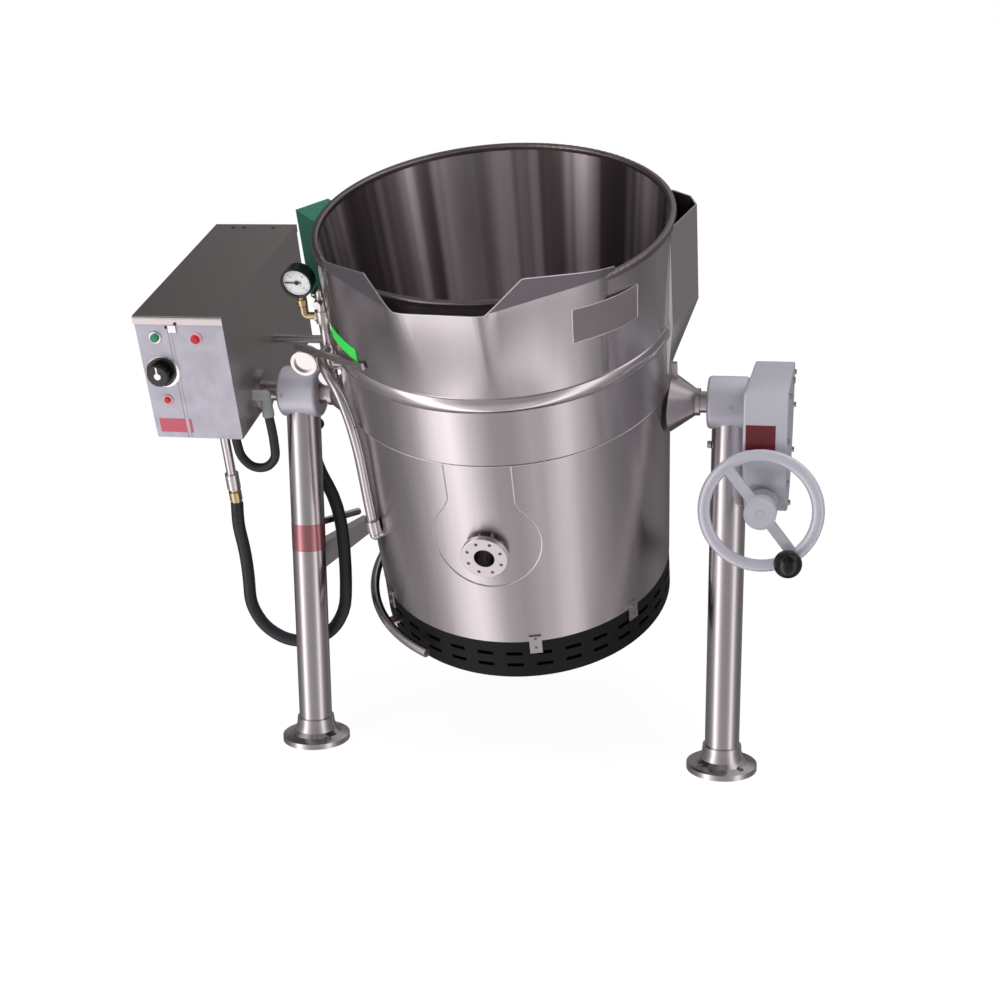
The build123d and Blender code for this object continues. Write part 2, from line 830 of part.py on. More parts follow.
def guard_hoop():
    """Round tube bent concentric with the guard and carried on two flat lugs."""
    face = Pos(346, 0, -455) * (Rot(90, 0, 0) * Circle(10))
    body = revolve(face, Axis.Z, 122)
    body = body.rotate(Axis.Z, -240)
    for a in (-52, -96, -138):
        lug = block(-12, 12, -338, -319.1, -457.5, -452.5)
        body = body + lug.rotate(Axis.Z, a)
    return tilted(body)


def fitting_stay():
    """Flat stay on edge from the bead to the header's fittings."""
    a = Vector(-423.5, -75, 156)
    b = Vector(-229.5, -267, 230)
    across = Vector(0, 0, 1).cross(b - a)
    plane = Plane(origin=a, x_dir=across, z_dir=b - a)
    body = extrude(plane * Rectangle(6, 13), amount=(b - a).length + 30)
    return tilted(wall_clear(body)) - pour_lip()


# ------------------------------------------------------------------ console
supply_x = -628.0
supply_y = -60.0
supply_end = -252.0


def console_shell():
    x0, x1 = console_left, console_right
    y0, y1 = console_front, console_back
    z0, z1 = console_bottom, console_top
    body = block(x0, x1, y0 + sheet, y1, z0, z1 - sheet)
    body = fillet(body.edges().filter_by(Axis.X).group_by(Axis.Y)[-1], 6)
    body = body - block(x0 + sheet, x1 - sheet, y0, y1 - sheet, z0 + sheet, z1)
    body = body - cyl((supply_x, supply_y, z0 - 1), (supply_x, supply_y, z0 + 3), 11)
    return leaned(body)


def console_lid():
    x0, x1 = console_left - 1.5, console_right + 1.5
    y0, y1 = console_front - 3, console_back + 1.5
    z1 = console_top
    body = block(x0, x1, y0, y1, z1 - 16, z1 + sheet)
    body = fillet(body.edges().filter_by(Axis.X).group_by(Axis.Y)[0].group_by(Axis.Z)[-1], 6)
    inner = block(x0 + 1.5, x1 - 1.5, y0 + 1.5, y1 - 1.5, z1 - 17, z1)
    body = body - inner
    return leaned(body)


def console_panel():
    x0, x1 = console_left, console_right
    y = console_front
    body = block(x0, x1, y, y + sheet, console_bottom, console_top - sheet)
    body = body - cyl((-696, y - 1, 118), (-696, y + 3, 118), 5)
    body = body - cyl((-695, y - 1, 53), (-695, y + 3, 53), 6.2)
    for x, z in ((-695, 196), (-607, 195)):
        body = body - cyl((x, y - 1, z), (x, y + 3, z), 6)
    return leaned(body)


def pilot_lamps():
    y = console_front
    parts = []
    for x, z in ((-695, 196), (-607, 195)):
        lens = cyl((x, y - 9, z), (x, y, z), 9)
        lens = fillet(lens.edges().filter_by(GeomType.CIRCLE).group_by(Axis.Y)[0], 3)
        parts.append(leaned(lens + cyl((x, y, z), (x, y + 26, z), 6)))
    return Compound(children=parts)


def thermostat_body():
    y = console_front + sheet
    body = block(-716, -676, y, y + 34, 98, 138)
    return leaned(body - cyl((-696, y - 1, 118), (-696, y + 20, 118), 3.3))


def thermostat_knob():
    y = console_front
    body = cyl((-696, y - 24, 118), (-696, y - 6, 118), 24)
    body = fillet(body.edges().filter_by(GeomType.CIRCLE).group_by(Axis.Y)[0], 3)
    body = body + cyl((-696, y - 6, 118), (-696, y - 1.5, 118), 31)
    for k in range(12):
        a = math.radians(30 * k)
        gx = -696 + 25.4 * math.cos(a)
        gz = 118 + 25.4 * math.sin(a)
        body = body - cyl((gx, y - 25, gz), (gx, y - 6, gz), 3)
    return leaned(body + cyl((-696, y - 1.5, 118), (-696, y + 15, 118), 3))


def push_button():
    y = console_front
    body = cyl((-695, y - 7, 53), (-695, y + 8, 53), 6)
    return leaned(fillet(body.edges().filter_by(GeomType.CIRCLE).group_by(Axis.Y)[0], 1.5))


def gas_valve():
    """Combination gas control inside the console."""
    x, y = supply_x, supply_y
    body = block(x - 40, x + 40, y - 36, y + 40, -20, 50)
    body = body + cyl((x, y, 50), (x, y, 66), 18)
    body = body + cyl((x, y + 40, 15), (x, y + 54, 15), 14)
    return leaned(body - cyl((x, y, -21), (x, y, -5), 10.5))


def gas_nipple():
    """Supply pipe down from the gas control, with its coupling and hose fitting."""
    x, y = supply_x, supply_y
    body = cyl((x, y, -5), (x, y, -180), 10.5)
    body = body + cyl((x, y, -177), (x, y, -214), 15)
    body = body + cyl((x, y, -214), (x, y, -222), 10)
    body = body + cyl((x, y, -222), (x, y, -244), 14)
    body = body + cyl((x, y, -244), (x, y, supply_end), 12)
    return leaned(body)


def console_point(x, y, z):
    """World position of a point of the console's own frame."""
    a = math.radians(rest_tilt + console_lean)
    wy = y * math.cos(a) - z * math.sin(a)
    wz = y * math.sin(a) + z * math.cos(a)
    return (x, wy, wz + trunnion_height)


def rounded_route(points):
    """Radius at each corner from the run lengths and the turn."""
    radii = []
    for k in range(1, len(points) - 1):
        a = Vector(*points[k]) - Vector(*points[k - 1])
        b = Vector(*points[k + 1]) - Vector(*points[k])
        turn = math.radians(a.get_angle(b))
        radii.append(0.45 * min(a.length, b.length) / math.tan(turn / 2))
    return radii


def gas_hose():
    """Supply hose: a flat-cut end under the fitting, one slack loop and up to the inlet elbow."""
    end = console_point(supply_x, supply_y, supply_end)
    route = [
        (supply_x, end[1], 532),
        (supply_x, end[1] + 1, 486),
        (-627, 53, 412),
        (-625, 62, 350),
        (-625, 64, 288),
        (-595, 66, 235),
        (-542, 66, 205),
        (-482, 66, 205),
        (-429, 66, 235),
        (-399, 66, 288),
        (-395, 66, 352),
        (-396, 66, 424),
        (-402, 65, 496),
        (-417, 64, 552),
        (-444, 63, 602),
        (-456, 62, 637),
        (-456, 62, 668),
    ]
    radii = rounded_route(route)
    print("gas_hose radii", [round(r) for r in radii])
    path = FilletPolyline(*route, radius=radii)
    a = Plane(origin=path @ 0, z_dir=path % 0)
    body = sweep(a * Circle(14), path=path)
    print("gas_hose length", round(path.length), "volume ratio", round(body.volume / (math.pi * 196 * path.length), 4))
    print("hose bounds", body.bounding_box())
    return body


def conduit():
    """Wiring conduit looping from the console floor to its connector on the console's side."""
    y = -58.0
    points = [
        (-604, y, console_bottom),
        (-604, y, -82),
        (-600, y, -134),
        (-577, y, -161),
        (-544, y, -161),
        (-519, y, -136),
        (-516, y, -82),
        (-519, y, -28),
    ]
    radii = rounded_route(points)
    print("conduit radii", [round(r) for r in radii])
    body = pipe(points, radii, 10)
    body = body + cone((-519, y, -30), (-519, y, 16), 13, 11)
    body = body + Pos(-519, y, 18) * Sphere(12)
    body = body + cyl((console_right, y, 18), (-519, y, 18), 12)
    return leaned(body)


def build():
    save("left_leg", leg(-1))
    save("right_leg", leg(1))
    save("foot_flanges", Compound(children=[foot_flange(-1), foot_flange(1)]))
    save("rear_arms", Compound(children=[rear_arm(-1), rear_arm(1)]))
    save("left_bearing_housing", bearing_housing(-1))
    save("right_bearing_housing", bearing_housing(1))
    save("bearing_bushes", bearing_bushes())
    save("bearing_set_screws", bearing_screws())
    save("gear_housing", gear_housing())
    save("gear_housing_cover", gear_housing_cover())
    save("cover_screws", cover_screws())
    save("worm_bushes", worm_bushes())
    save("worm_shaft", worm_shaft())
    save("handwheel", handwheel())
    save("crank_stud", crank_stud())
    save("crank_knob", crank_knob())
    save("hose_hanger", hose_hanger())
    save("gas_inlet_elbow", gas_inlet_elbow())
    save("inner_bowl", inner_bowl())
    save("bowl_dish", bowl_dish())
    save("rim_ring", rim_ring())
    save("upper_band", upper_band())
    save("bead_ring", bead_ring())
    save("steam_jacket", steam_jacket())
    save("lower_skirt", lower_skirt())
    save("pour_lip", pour_lip())
    save("base_guard", base_guard())
    save("guard_brackets", guard_brackets())
    save("burner_ring", burner_ring())
    save("burner_feed", burner_feed())
    save("draw_off_neck", draw_off_neck())
    save("draw_off_flange", draw_off_flange())
    save("left_trunnion", trunnion(-1))
    save("right_trunnion", trunnion(1))
    save("sector_gear", sector_gear())
    save("left_flue_box", left_flue_box())
    save("right_flue_shroud", right_flue_shroud())
    save("gauge_case", gauge_case())
    save("gauge_needle", gauge_needle())
    save("gauge_stem", gauge_stem())
    save("fitting_manifold", fitting_manifold())
    save("safety_valve", safety_valve())
    save("safety_lever", safety_lever())
    save("sight_glass", sight_glass())
    save("fill_valve", fill_valve())
    save("level_pipe", level_pipe())
    save("guard_hoop", guard_hoop())
    save("fitting_stay", fitting_stay())
    save("console_shell", console_shell())
    save("console_lid", console_lid())
    save("console_panel", console_panel())
    save("gas_valve", gas_valve())
    save("thermostat_body", thermostat_body())
    save("thermostat_knob", thermostat_knob())
    save("pilot_lamps", pilot_lamps())
    save("push_button", push_button())
    save("gas_nipple", gas_nipple())
    save("gas_hose", gas_hose())
    save("conduit", conduit())


build()
print(len(made), "nodes")
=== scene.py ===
"""Steam jacketed kettle, gas heated, tilted by a handwheel: its looks, laid over the CAD frame."""
import json
import math

import bpy
from mathutils import Matrix, Vector


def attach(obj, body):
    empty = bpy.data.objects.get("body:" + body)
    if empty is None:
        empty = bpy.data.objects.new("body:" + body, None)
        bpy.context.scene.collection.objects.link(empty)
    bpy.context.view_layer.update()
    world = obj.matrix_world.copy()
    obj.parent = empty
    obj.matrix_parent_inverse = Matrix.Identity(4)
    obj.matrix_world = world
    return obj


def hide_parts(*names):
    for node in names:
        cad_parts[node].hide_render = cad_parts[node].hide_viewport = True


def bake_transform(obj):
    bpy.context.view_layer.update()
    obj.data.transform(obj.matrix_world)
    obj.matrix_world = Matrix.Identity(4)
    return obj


bl_info = {
    "name": "Steam Jacketed Kettle",
    "version": (1, 0, 0),
    "blender": (4, 5, 0),
    "location": "3D View > Sidebar > Kettle",
    "description": "Dresses the tilting steam jacketed kettle with its finishes, seams, plates and hoses",
    "category": "Object",
}

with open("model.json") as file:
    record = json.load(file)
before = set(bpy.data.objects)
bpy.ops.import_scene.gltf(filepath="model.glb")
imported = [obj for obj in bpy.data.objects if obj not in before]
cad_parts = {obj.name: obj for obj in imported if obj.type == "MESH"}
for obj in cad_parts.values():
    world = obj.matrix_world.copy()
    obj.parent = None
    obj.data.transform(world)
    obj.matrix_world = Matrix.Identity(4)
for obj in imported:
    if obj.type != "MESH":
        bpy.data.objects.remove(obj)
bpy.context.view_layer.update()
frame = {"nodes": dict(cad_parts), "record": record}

# The CAD model is drawn about the middle of the trunnion line on the floor. Its row frame is moved by this.
ORIGIN = Vector((0.04175, 0.02108, 0.0))
TRUNNION = Vector((0.0, 0.0, 0.795))
TILT = math.radians(22.0)
LEAN = math.radians(18.0)
# a turned profile stops this far from its axis, so that its middle keeps plain faces
AXIS_GAP = 0.00001


def linear(hex_colour):
    """A six-digit sRGB hex colour as linear light."""
    value = hex_colour.lstrip("#")
    parts = [int(value[k:k + 2], 16) / 255 for k in (0, 2, 4)]
    out = [c / 12.92 if c <= 0.04045 else ((c + 0.055) / 1.055) ** 2.4 for c in parts]
    return (*out, 1.0)


def ground(x, y, z):
    """A point of the stand, given in millimetres about the trunnion middle, in the row frame."""
    return Vector((x, y, z)) / 1000 + ORIGIN


def upright(x, y, z):
    """A point given in millimetres in the upright kettle's own frame, in the row frame."""
    p = Matrix.Rotation(TILT, 3, "X") @ (Vector((x, y, z)) / 1000)
    return p + TRUNNION + ORIGIN


def on_console(x, y, z):
    """A point given in millimetres in the console's own frame, in the row frame."""
    p = Matrix.Rotation(LEAN, 3, "X") @ (Vector((x, y, z)) / 1000)
    return p + TRUNNION + ORIGIN


def around(radius, degrees, height):
    """A point of the upright kettle at a radius, an angle from the pouring side and a height."""
    a = math.radians(degrees)
    return upright(radius * math.sin(a), -radius * math.cos(a), height)


def direction(place, x, y, z):
    """A unit vector of a local frame, in the row frame."""
    return (place(x, y, z) - place(0, 0, 0)).normalized()


# ---------------------------------------------------------------- mesh helpers
def add_mesh(name, points, faces, material, body, smooth=True, angle=35.0):
    """A mesh object in the row frame that rides on a body."""
    mesh = bpy.data.meshes.new(name)
    mesh.from_pydata([tuple(p) for p in points], [], faces)
    mesh.update()
    mesh.materials.append(material)
    made = bpy.data.objects.new(name, mesh)
    bpy.context.scene.collection.objects.link(made)
    if smooth:
        mesh.shade_smooth()
        mesh.set_sharp_from_angle(angle=math.radians(angle))
    if body:
        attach(made, body)
    return made


def tube(name, path, radius, material, body, sides=16, closed=False):
    """A round bar or pipe along a list of points."""
    count = len(path)
    steps = []
    for k in range(count):
        before = path[(k - 1) % count] if closed or k > 0 else path[k]
        after = path[(k + 1) % count] if closed or k < count - 1 else path[k]
        steps.append((after - before).normalized())
    side = steps[0].orthogonal().normalized()
    points = []
    for k in range(count):
        side = (side - steps[k] * side.dot(steps[k])).normalized()
        up = steps[k].cross(side)
        for j in range(sides):
            a = math.tau * j / sides
            points.append(path[k] + (side * math.cos(a) + up * math.sin(a)) * radius)
    faces = []
    for k in range(count if closed else count - 1):
        n = (k + 1) % count
        for j in range(sides):
            i = (j + 1) % sides
            faces.append((k * sides + j, k * sides + i, n * sides + i, n * sides + j))
    if not closed:
        faces.append(tuple(range(sides - 1, -1, -1)))
        faces.append(tuple((count - 1) * sides + j for j in range(sides)))
    return add_mesh(name, points, faces, material, body)


def rounded(points, radii, step=math.radians(9)):
    """The polyline with a tangent arc at each inner point, as the solid's own path has."""
    out = [points[0]]
    for k in range(1, len(points) - 1):
        p = points[k]
        a = (points[k - 1] - p).normalized()
        b = (points[k + 1] - p).normalized()
        turn = math.pi - a.angle(b)
        back = radii[k - 1] * math.tan(turn / 2)
        start = p + a * back
        end = p + b * back
        middle = (a + b).normalized()
        centre = p + middle * (radii[k - 1] / math.cos(turn / 2))
        pieces = max(2, int(turn / step) + 1)
        first = start - centre
        last = end - centre
        for j in range(pieces + 1):
            t = j / pieces
            w0 = math.sin((1 - t) * turn) / math.sin(turn)
            w1 = math.sin(t * turn) / math.sin(turn)
            out.append(centre + first * w0 + last * w1)
    out.append(points[-1])
    return out


def route_radii(points):
    """The same corner radii as the solid tubes have: 0.45 of the shorter run over the half turn's tangent."""
    radii = []
    for k in range(1, len(points) - 1):
        a = points[k] - points[k - 1]
        b = points[k + 1] - points[k]
        radii.append(0.45 * min(a.length, b.length) / math.tan(a.angle(b) / 2))
    return radii


def turned(name, profile, centre, axis, material, body, sides=48, closed=True):
    """A solid of revolution: profile is (radius, height along axis) in metres."""
    axis = Vector(axis).normalized()
    side = axis.orthogonal().normalized()
    up = axis.cross(side)
    rows = len(profile)
    points = []
    for j in range(sides):
        a = math.tau * j / sides
        out = side * math.cos(a) + up * math.sin(a)
        for r, h in profile:
            points.append(centre + out * r + axis * h)
    faces = []
    for j in range(sides):
        i = (j + 1) % sides
        for k in range(rows if closed else rows - 1):
            n = (k + 1) % rows
            faces.append((j * rows + k, i * rows + k, i * rows + n, j * rows + n))
    return add_mesh(name, points, faces, material, body)


def strip_on_kettle(name, corners, radius_at, thick, material, columns=12):
    """A thin curved plate on the kettle between two angles, each with its low and high edge."""
    (left, left_low, left_high), (right, right_low, right_high) = corners
    points = []
    for k in range(columns + 1):
        t = k / columns
        degrees = left + (right - left) * t
        low = left_low + (right_low - left_low) * t
        high = left_high + (right_high - left_high) * t
        for height in (low, high):
            for grow in (0.0, thick):
                points.append(around(radius_at(degrees, height) + grow, degrees, height))
    faces = [(0, 1, 3, 2)]
    for k in range(columns):
        a = 4 * k
        b = a + 4
        faces.append((a + 1, b + 1, b + 3, a + 3))
        faces.append((a, a + 2, b + 2, b))
        faces.append((a, b, b + 1, a + 1))
        faces.append((a + 2, a + 3, b + 3, b + 2))
    last = 4 * columns
    faces.append((last, last + 2, last + 3, last + 1))
    return add_mesh(name, points, faces, material, "kettle")


def slab(name, place, low, high, material, body):
    """A plain block between two corners of a local frame."""
    corners = [(x, y, z) for x in (low[0], high[0]) for y in (low[1], high[1]) for z in (low[2], high[2])]
    points = [place(*c) for c in corners]
    faces = [(0, 1, 3, 2), (4, 6, 7, 5), (0, 4, 5, 1), (2, 3, 7, 6), (0, 2, 6, 4), (1, 5, 7, 3)]
    return add_mesh(name, points, faces, material, body, smooth=False)


def disc(name, centre, axis, radius, thick, material, body, hole=0.0, round_off=0.0004):
    """A flat washer or, without a hole, a button with a softened front edge."""
    rim = [(radius, 0), (radius, thick - round_off), (radius - round_off, thick)]
    if hole:
        profile = [(hole, 0), *rim, (hole, thick)]
    else:
        profile = [(AXIS_GAP, 0), *rim, (AXIS_GAP, thick)]
    return turned(name, profile, centre, axis, material, body)


def skirt_radius(height):
    """Outer radius of the skirt in millimetres at a height of the upright kettle."""
    return 320.0 + 14.0 * (height + 399.0) / 449.0


def band_radius(height):
    """Outer radius of the band round the top, in millimetres."""
    return 343.0 + 10.0 * (height - 204.0) / 198.0


def lip_radius(height):
    """Outer radius of the lip's round sides, which cover the band in front."""
    return 347.6 + 10.2 * (height - 212.0) / 202.0


# ---------------------------------------------------------------- finishes
def node(tree, kind, settings=None, inputs=None):
    """Adds a node with its settings, and links or sets its inputs."""
    made = tree.nodes.new(kind)
    for key, value in (settings or {}).items():
        setattr(made, key, value)
    for key, value in (inputs or {}).items():
        if isinstance(value, bpy.types.NodeSocket):
            tree.links.new(value, made.inputs[key])
        else:
            made.inputs[key].default_value = value
    return made


def finish_of(name, colour, metallic, roughness):
    """A Principled material with its plain values set on the shader's own sockets."""
    found = bpy.data.materials.get(name)
    if found:
        return found, found.node_tree, found.node_tree.nodes["Principled BSDF"]
    made = bpy.data.materials.new(name)
    made.use_nodes = True
    shader = made.node_tree.nodes["Principled BSDF"]
    shader.inputs["Base Color"].default_value = linear(colour)
    shader.inputs["Metallic"].default_value = metallic
    shader.inputs["Roughness"].default_value = roughness
    return made, made.node_tree, shader


def plain_finish(name, colour, metallic, roughness):
    """A finish that is the same all over, so that it needs no nodes besides its shader."""
    return finish_of(name, colour, metallic, roughness)[0]


def colours_mixed(tree, share, first, second):
    """One of two colours, or a mix of both, by a share between 0 and 1."""
    made = node(tree, "ShaderNodeMix", {"data_type": "RGBA"}, {"Factor": share, 6: first, 7: second})
    return made.outputs[2]


def draw_direction(tree, shader):
    """Reflections are drawn out along this direction, square to the brushing lines."""
    axis = Matrix.Rotation(TILT, 3, "X") @ Vector((0, 0, 1))
    turned_to = node(tree, "ShaderNodeVectorTransform",
                     {"vector_type": "VECTOR", "convert_from": "OBJECT", "convert_to": "WORLD"},
                     {0: tuple(axis)})
    tree.links.new(turned_to.outputs[0], shader.inputs["Tangent"])


def kettle_position(tree):
    """Position in metres in the upright kettle's own axes."""
    where = node(tree, "ShaderNodeTexCoord")
    turn_back = node(tree, "ShaderNodeMapping", {"vector_type": "TEXTURE"},
                     {"Vector": where.outputs["Object"],
                      "Location": TRUNNION + ORIGIN, "Rotation": (TILT, 0, 0)})
    return turn_back.outputs[0]


def streaks(tree, position, squeeze, detail):
    """Noise stretched along the directions in which its squeeze is small."""
    squeezed = node(tree, "ShaderNodeVectorMath", {"operation": "MULTIPLY"}, {0: position, 1: squeeze})
    noise = node(tree, "ShaderNodeTexNoise", {},
                 {"Vector": squeezed.outputs[0], "Scale": 1.0, "Detail": detail})
    return noise.outputs["Fac"]


def brushed_vessel_steel(size):
    """304 stainless sheet of the vessel, belt-polished round it: tall soft streaks of light."""
    made, tree, shader = finish_of("stainless_vessel_brushed", size.steel_colour, 1.0, 0.25)
    if shader.inputs["Base Color"].is_linked:
        return made
    shader.inputs["Anisotropic"].default_value = 0.90
    draw_direction(tree, shader)
    position = kettle_position(tree)
    # polishing lines run level round the shell; slow dents make the tall reflections waver
    lines = streaks(tree, position, (3.0, 3.0, 260.0), 3.0)
    dents = streaks(tree, position, (9.0, 9.0, 1.2), 1.0)
    fine = node(tree, "ShaderNodeBump", {}, {"Strength": 0.05, "Distance": 0.0006, "Height": lines})
    slow = node(tree, "ShaderNodeBump", {}, {"Strength": 0.10, "Distance": 0.012, "Height": dents,
                                             "Normal": fine.outputs[0]})
    tree.links.new(slow.outputs[0], shader.inputs["Normal"])
    # tall faint bands of tone, 20 to 60 mm wide, left by the polishing belt
    bands = streaks(tree, position, (22.0, 22.0, 0.8), 2.0)
    tone = colours_mixed(tree, bands, linear(size.steel_colour), linear(size.steel_shade))
    tree.links.new(tone, shader.inputs["Base Color"])
    return made


def bowl_steel_painted_streaks(size):
    """Inside of the bowl: steel ground by hand, with a tall soft gloss, and painted reflections in its
    colour: upright streaks, bright and dark.
    """
    made, tree, shader = finish_of("stainless_bowl_painted_streaks", "C9C2C3", 1.0, 0.30)
    if shader.inputs["Base Color"].is_linked:
        return made
    shader.inputs["Anisotropic"].default_value = 0.95
    draw_direction(tree, shader)
    position = kettle_position(tree)
    flat = node(tree, "ShaderNodeVectorMath", {"operation": "MULTIPLY"}, {0: position, 1: (1.0, 1.0, 0.0)})
    reach = node(tree, "ShaderNodeVectorMath", {"operation": "LENGTH"}, {0: flat.outputs[0]})
    outward = node(tree, "ShaderNodeVectorMath", {"operation": "NORMALIZE"}, {0: flat.outputs[0]})
    # painted reflections: upright bright and dark streaks, 60 to 90 mm wide at the wall, running together and
    # dying out to an even tone in the dish
    painted_streaks = streaks(tree, outward.outputs[0], (4.0, 4.0, 0.0), 2.5)
    kept = node(tree, "ShaderNodeMapRange", {"interpolation_type": "SMOOTHSTEP"},
                {"Value": reach.outputs["Value"], "From Min": 0.17, "From Max": 0.315})
    share = node(tree, "ShaderNodeMapRange", {"interpolation_type": "SMOOTHSTEP"},
                 {"Value": painted_streaks, "From Min": 0.40, "From Max": 0.60})
    painted_wall_streaks = colours_mixed(tree, share.outputs[0], linear("7A6F71"), linear("F4EEF0"))
    tone = colours_mixed(tree, kept.outputs[0], linear("C4BABC"), painted_wall_streaks)
    tree.links.new(tone, shader.inputs["Base Color"])
    return made


def lip_wing_painted_shade(size):
    """The folded wings of the lip: the same sheet, rougher, with its colour darkened as painted shade for the
    wings' darker reflection.
    """
    return plain_finish("stainless_lip_wing_painted_shade", "7C777D", 0.85, 0.48)


def plain_steel(size):
    """304 stainless tube and sheet with a satin belt finish: clear tall stripes of light."""
    return plain_finish("stainless_satin", size.steel_colour, 1.0, 0.24)


def console_steel(size):
    """Flat stainless sheet of the console, brushed front to back, with soft broad reflections."""
    made, tree, shader = finish_of("stainless_console_sheet", "CFC8C6", 1.0, 0.36)
    if shader.inputs["Normal"].is_linked:
        return made
    where = node(tree, "ShaderNodeTexCoord").outputs["Object"]
    # grinding grain about a millimetre wide
    grain = streaks(tree, where, (40.0, 700.0, 700.0), 2.0)
    bump = node(tree, "ShaderNodeBump", {}, {"Strength": 0.06, "Distance": 0.0004, "Height": grain})
    tree.links.new(bump.outputs[0], shader.inputs["Normal"])
    return made


def panel_steel(size):
    """Front panel: pale satin sheet with fine specks of wear."""
    made, tree, shader = finish_of("stainless_panel_satin", "B4B3BD", 0.72, 0.42)
    if shader.inputs["Base Color"].is_linked:
        return made
    where = node(tree, "ShaderNodeTexCoord").outputs["Object"]
    # clouding of 40 mm patches and specks of 3 mm
    cloud = streaks(tree, where, (26.0, 26.0, 26.0), 5.0)
    tone = colours_mixed(tree, cloud, linear("9C9BA6"), linear("C6C5CE"))
    tree.links.new(tone, shader.inputs["Base Color"])
    return made


def bright_steel(size):
    """Stainless bar polished bright, as on the bead and the flange."""
    return plain_finish("stainless_bright", "DAD3D4", 1.0, 0.17)


def rim_steel(size):
    """Rolled bar of the rim, rougher and darker in colour, so that it reads darker than the sheet."""
    return plain_finish("stainless_rim_rolled", "9A908F", 1.0, 0.34)


def nickel_fittings(size):
    """Nickel-plated pipe fittings: pale and soft."""
    return plain_finish("nickel_plated", "E2DCDB", 1.0, 0.26)


def filmed_steel(size):
    """Sheet with its green protective film still on."""
    return plain_finish("steel_green_film", "2C6352", 0.35, 0.25)


def machined_steel(size):
    """Turned and cut steel of the screws and the gear: an even grey shine."""
    return plain_finish("steel_machined", "C4BEBF", 1.0, 0.32)


def casting_paint(size):
    """Silver-grey paint over sand castings: mirrors its surroundings a little, with a soft shine."""
    return plain_finish("paint_silver_grey", size.enamel_colour, 0.6, 0.42)


def black_enamel(size):
    """Black heat-proof enamel of the guard: dull, with hardly any shine."""
    made, _, shader = finish_of("enamel_black", "0D0E0F", 0.0, 0.50)
    shader.inputs["Specular IOR Level"].default_value = 0.2
    return made


def cast_metal(size):
    """Cast iron, rough and dark."""
    return plain_finish("cast_iron_dark", "3A3838", 0.6, 0.6)


def bronze_metal(size):
    """Machined bronze of the bushes: warm and bright."""
    return plain_finish("bronze_machined", "B08A5A", 1.0, 0.35)


def brass_metal(size):
    """Machined brass, yellow and bright."""
    return plain_finish("brass_machined", "BF9A5C", 1.0, 0.30)


def black_plastic(size):
    """Black phenolic, moulded and buffed: deep shine."""
    return plain_finish("phenolic_black", "0C0C0D", 0.0, 0.18)


def hose_rubber(size):
    """Black rubber cover of the hose and the conduit, a little grey with dust."""
    return plain_finish("rubber_hose_black", "23252A", 0.0, 0.48)


def lamp_green(size):
    """Green moulded lens with a clear shine."""
    return plain_finish("lens_green", "0A7A50", 0.0, 0.12)


def lamp_red(size):
    """Red moulded lens with a clear shine."""
    return plain_finish("lens_red", "B0182C", 0.0, 0.12)


def white_dial(size):
    """White enamelled sheet of the gauge, flat and bright."""
    return plain_finish("dial_enamel_white", "FAFAFA", 0.0, 0.5)


def dark_paint(size):
    """Near-black matt paint of marks and joints."""
    return plain_finish("paint_dark_mark", "2A2628", 0.0, 0.5)


def pink_plastic(size):
    """Bezel of sun-bleached red plastic, now pink."""
    return plain_finish("plastic_pink", "E2A3A8", 0.0, 0.35)


def faded_red(size):
    """Red print worn to a pale red, now without any words."""
    return plain_finish("ink_faded_red", "C65A68", 0.0, 0.5)


def plate_grey(size):
    """Bare name plate: etched aluminium, grey with a warm cast."""
    return plain_finish("aluminium_plate_bare", "AC9FA4", 0.45, 0.45)


def plate_red(size):
    """Bare plate on the gear housing, dark red lacquer with a deep shine."""
    return plain_finish("lacquer_dark_red", "5C2026", 0.0, 0.16)


def tape_red(size):
    """Clear red tape wound round the tube, with the steel shining through."""
    return plain_finish("tape_clear_red", "C08388", 0.9, 0.24)


def film_green(size):
    """Scrap of fluorescent green protective film."""
    return plain_finish("film_bright_green", "35E055", 0.0, 0.35)


def seam_light(size):
    """Ground weld bead: catches the light along its crown."""
    return plain_finish("weld_bead_ground", "E9E4E6", 1.0, 0.35)


def brass_pale(size):
    """Brass with a thin wash of nickel: pale yellow."""
    return plain_finish("brass_pale", "D9C79A", 1.0, 0.3)


def connector_grey(size):
    """Grey moulded cone of the conduit's connector."""
    return plain_finish("nylon_grey", "9FA0A4", 0.0, 0.4)


FINISHES = {
    "stainless": plain_steel,
    "housing_paint": casting_paint,
    "black_paint": black_enamel,
    "steel": machined_steel,
    "bronze": bronze_metal,
    "brass": brass_metal,
    "cast_iron": cast_metal,
    "black_plastic": black_plastic,
    "red_plastic": lamp_red,
    "hose_rubber": hose_rubber,
}
NODE_FINISHES = {
    # the bowl's colour holds painted reflections: upright bright and dark streaks
    "inner_bowl": bowl_steel_painted_streaks,
    "bowl_dish": bowl_steel_painted_streaks,
    "upper_band": brushed_vessel_steel,
    "steam_jacket": brushed_vessel_steel,
    "lower_skirt": brushed_vessel_steel,
    "pour_lip": brushed_vessel_steel,
    "bead_ring": bright_steel,
    "draw_off_flange": bright_steel,
    "rim_ring": rim_steel,
    "console_shell": console_steel,
    "console_lid": console_steel,
    "console_panel": panel_steel,
    "left_flue_box": filmed_steel,
    "fitting_manifold": nickel_fittings,
    "fill_valve": nickel_fittings,
    "sight_glass": nickel_fittings,
    "safety_valve": nickel_fittings,
    "level_pipe": plain_steel,
    "guard_hoop": plain_steel,
    "gauge_stem": brass_pale,
    "gauge_needle": dark_paint,
    "gas_nipple": nickel_fittings,
}


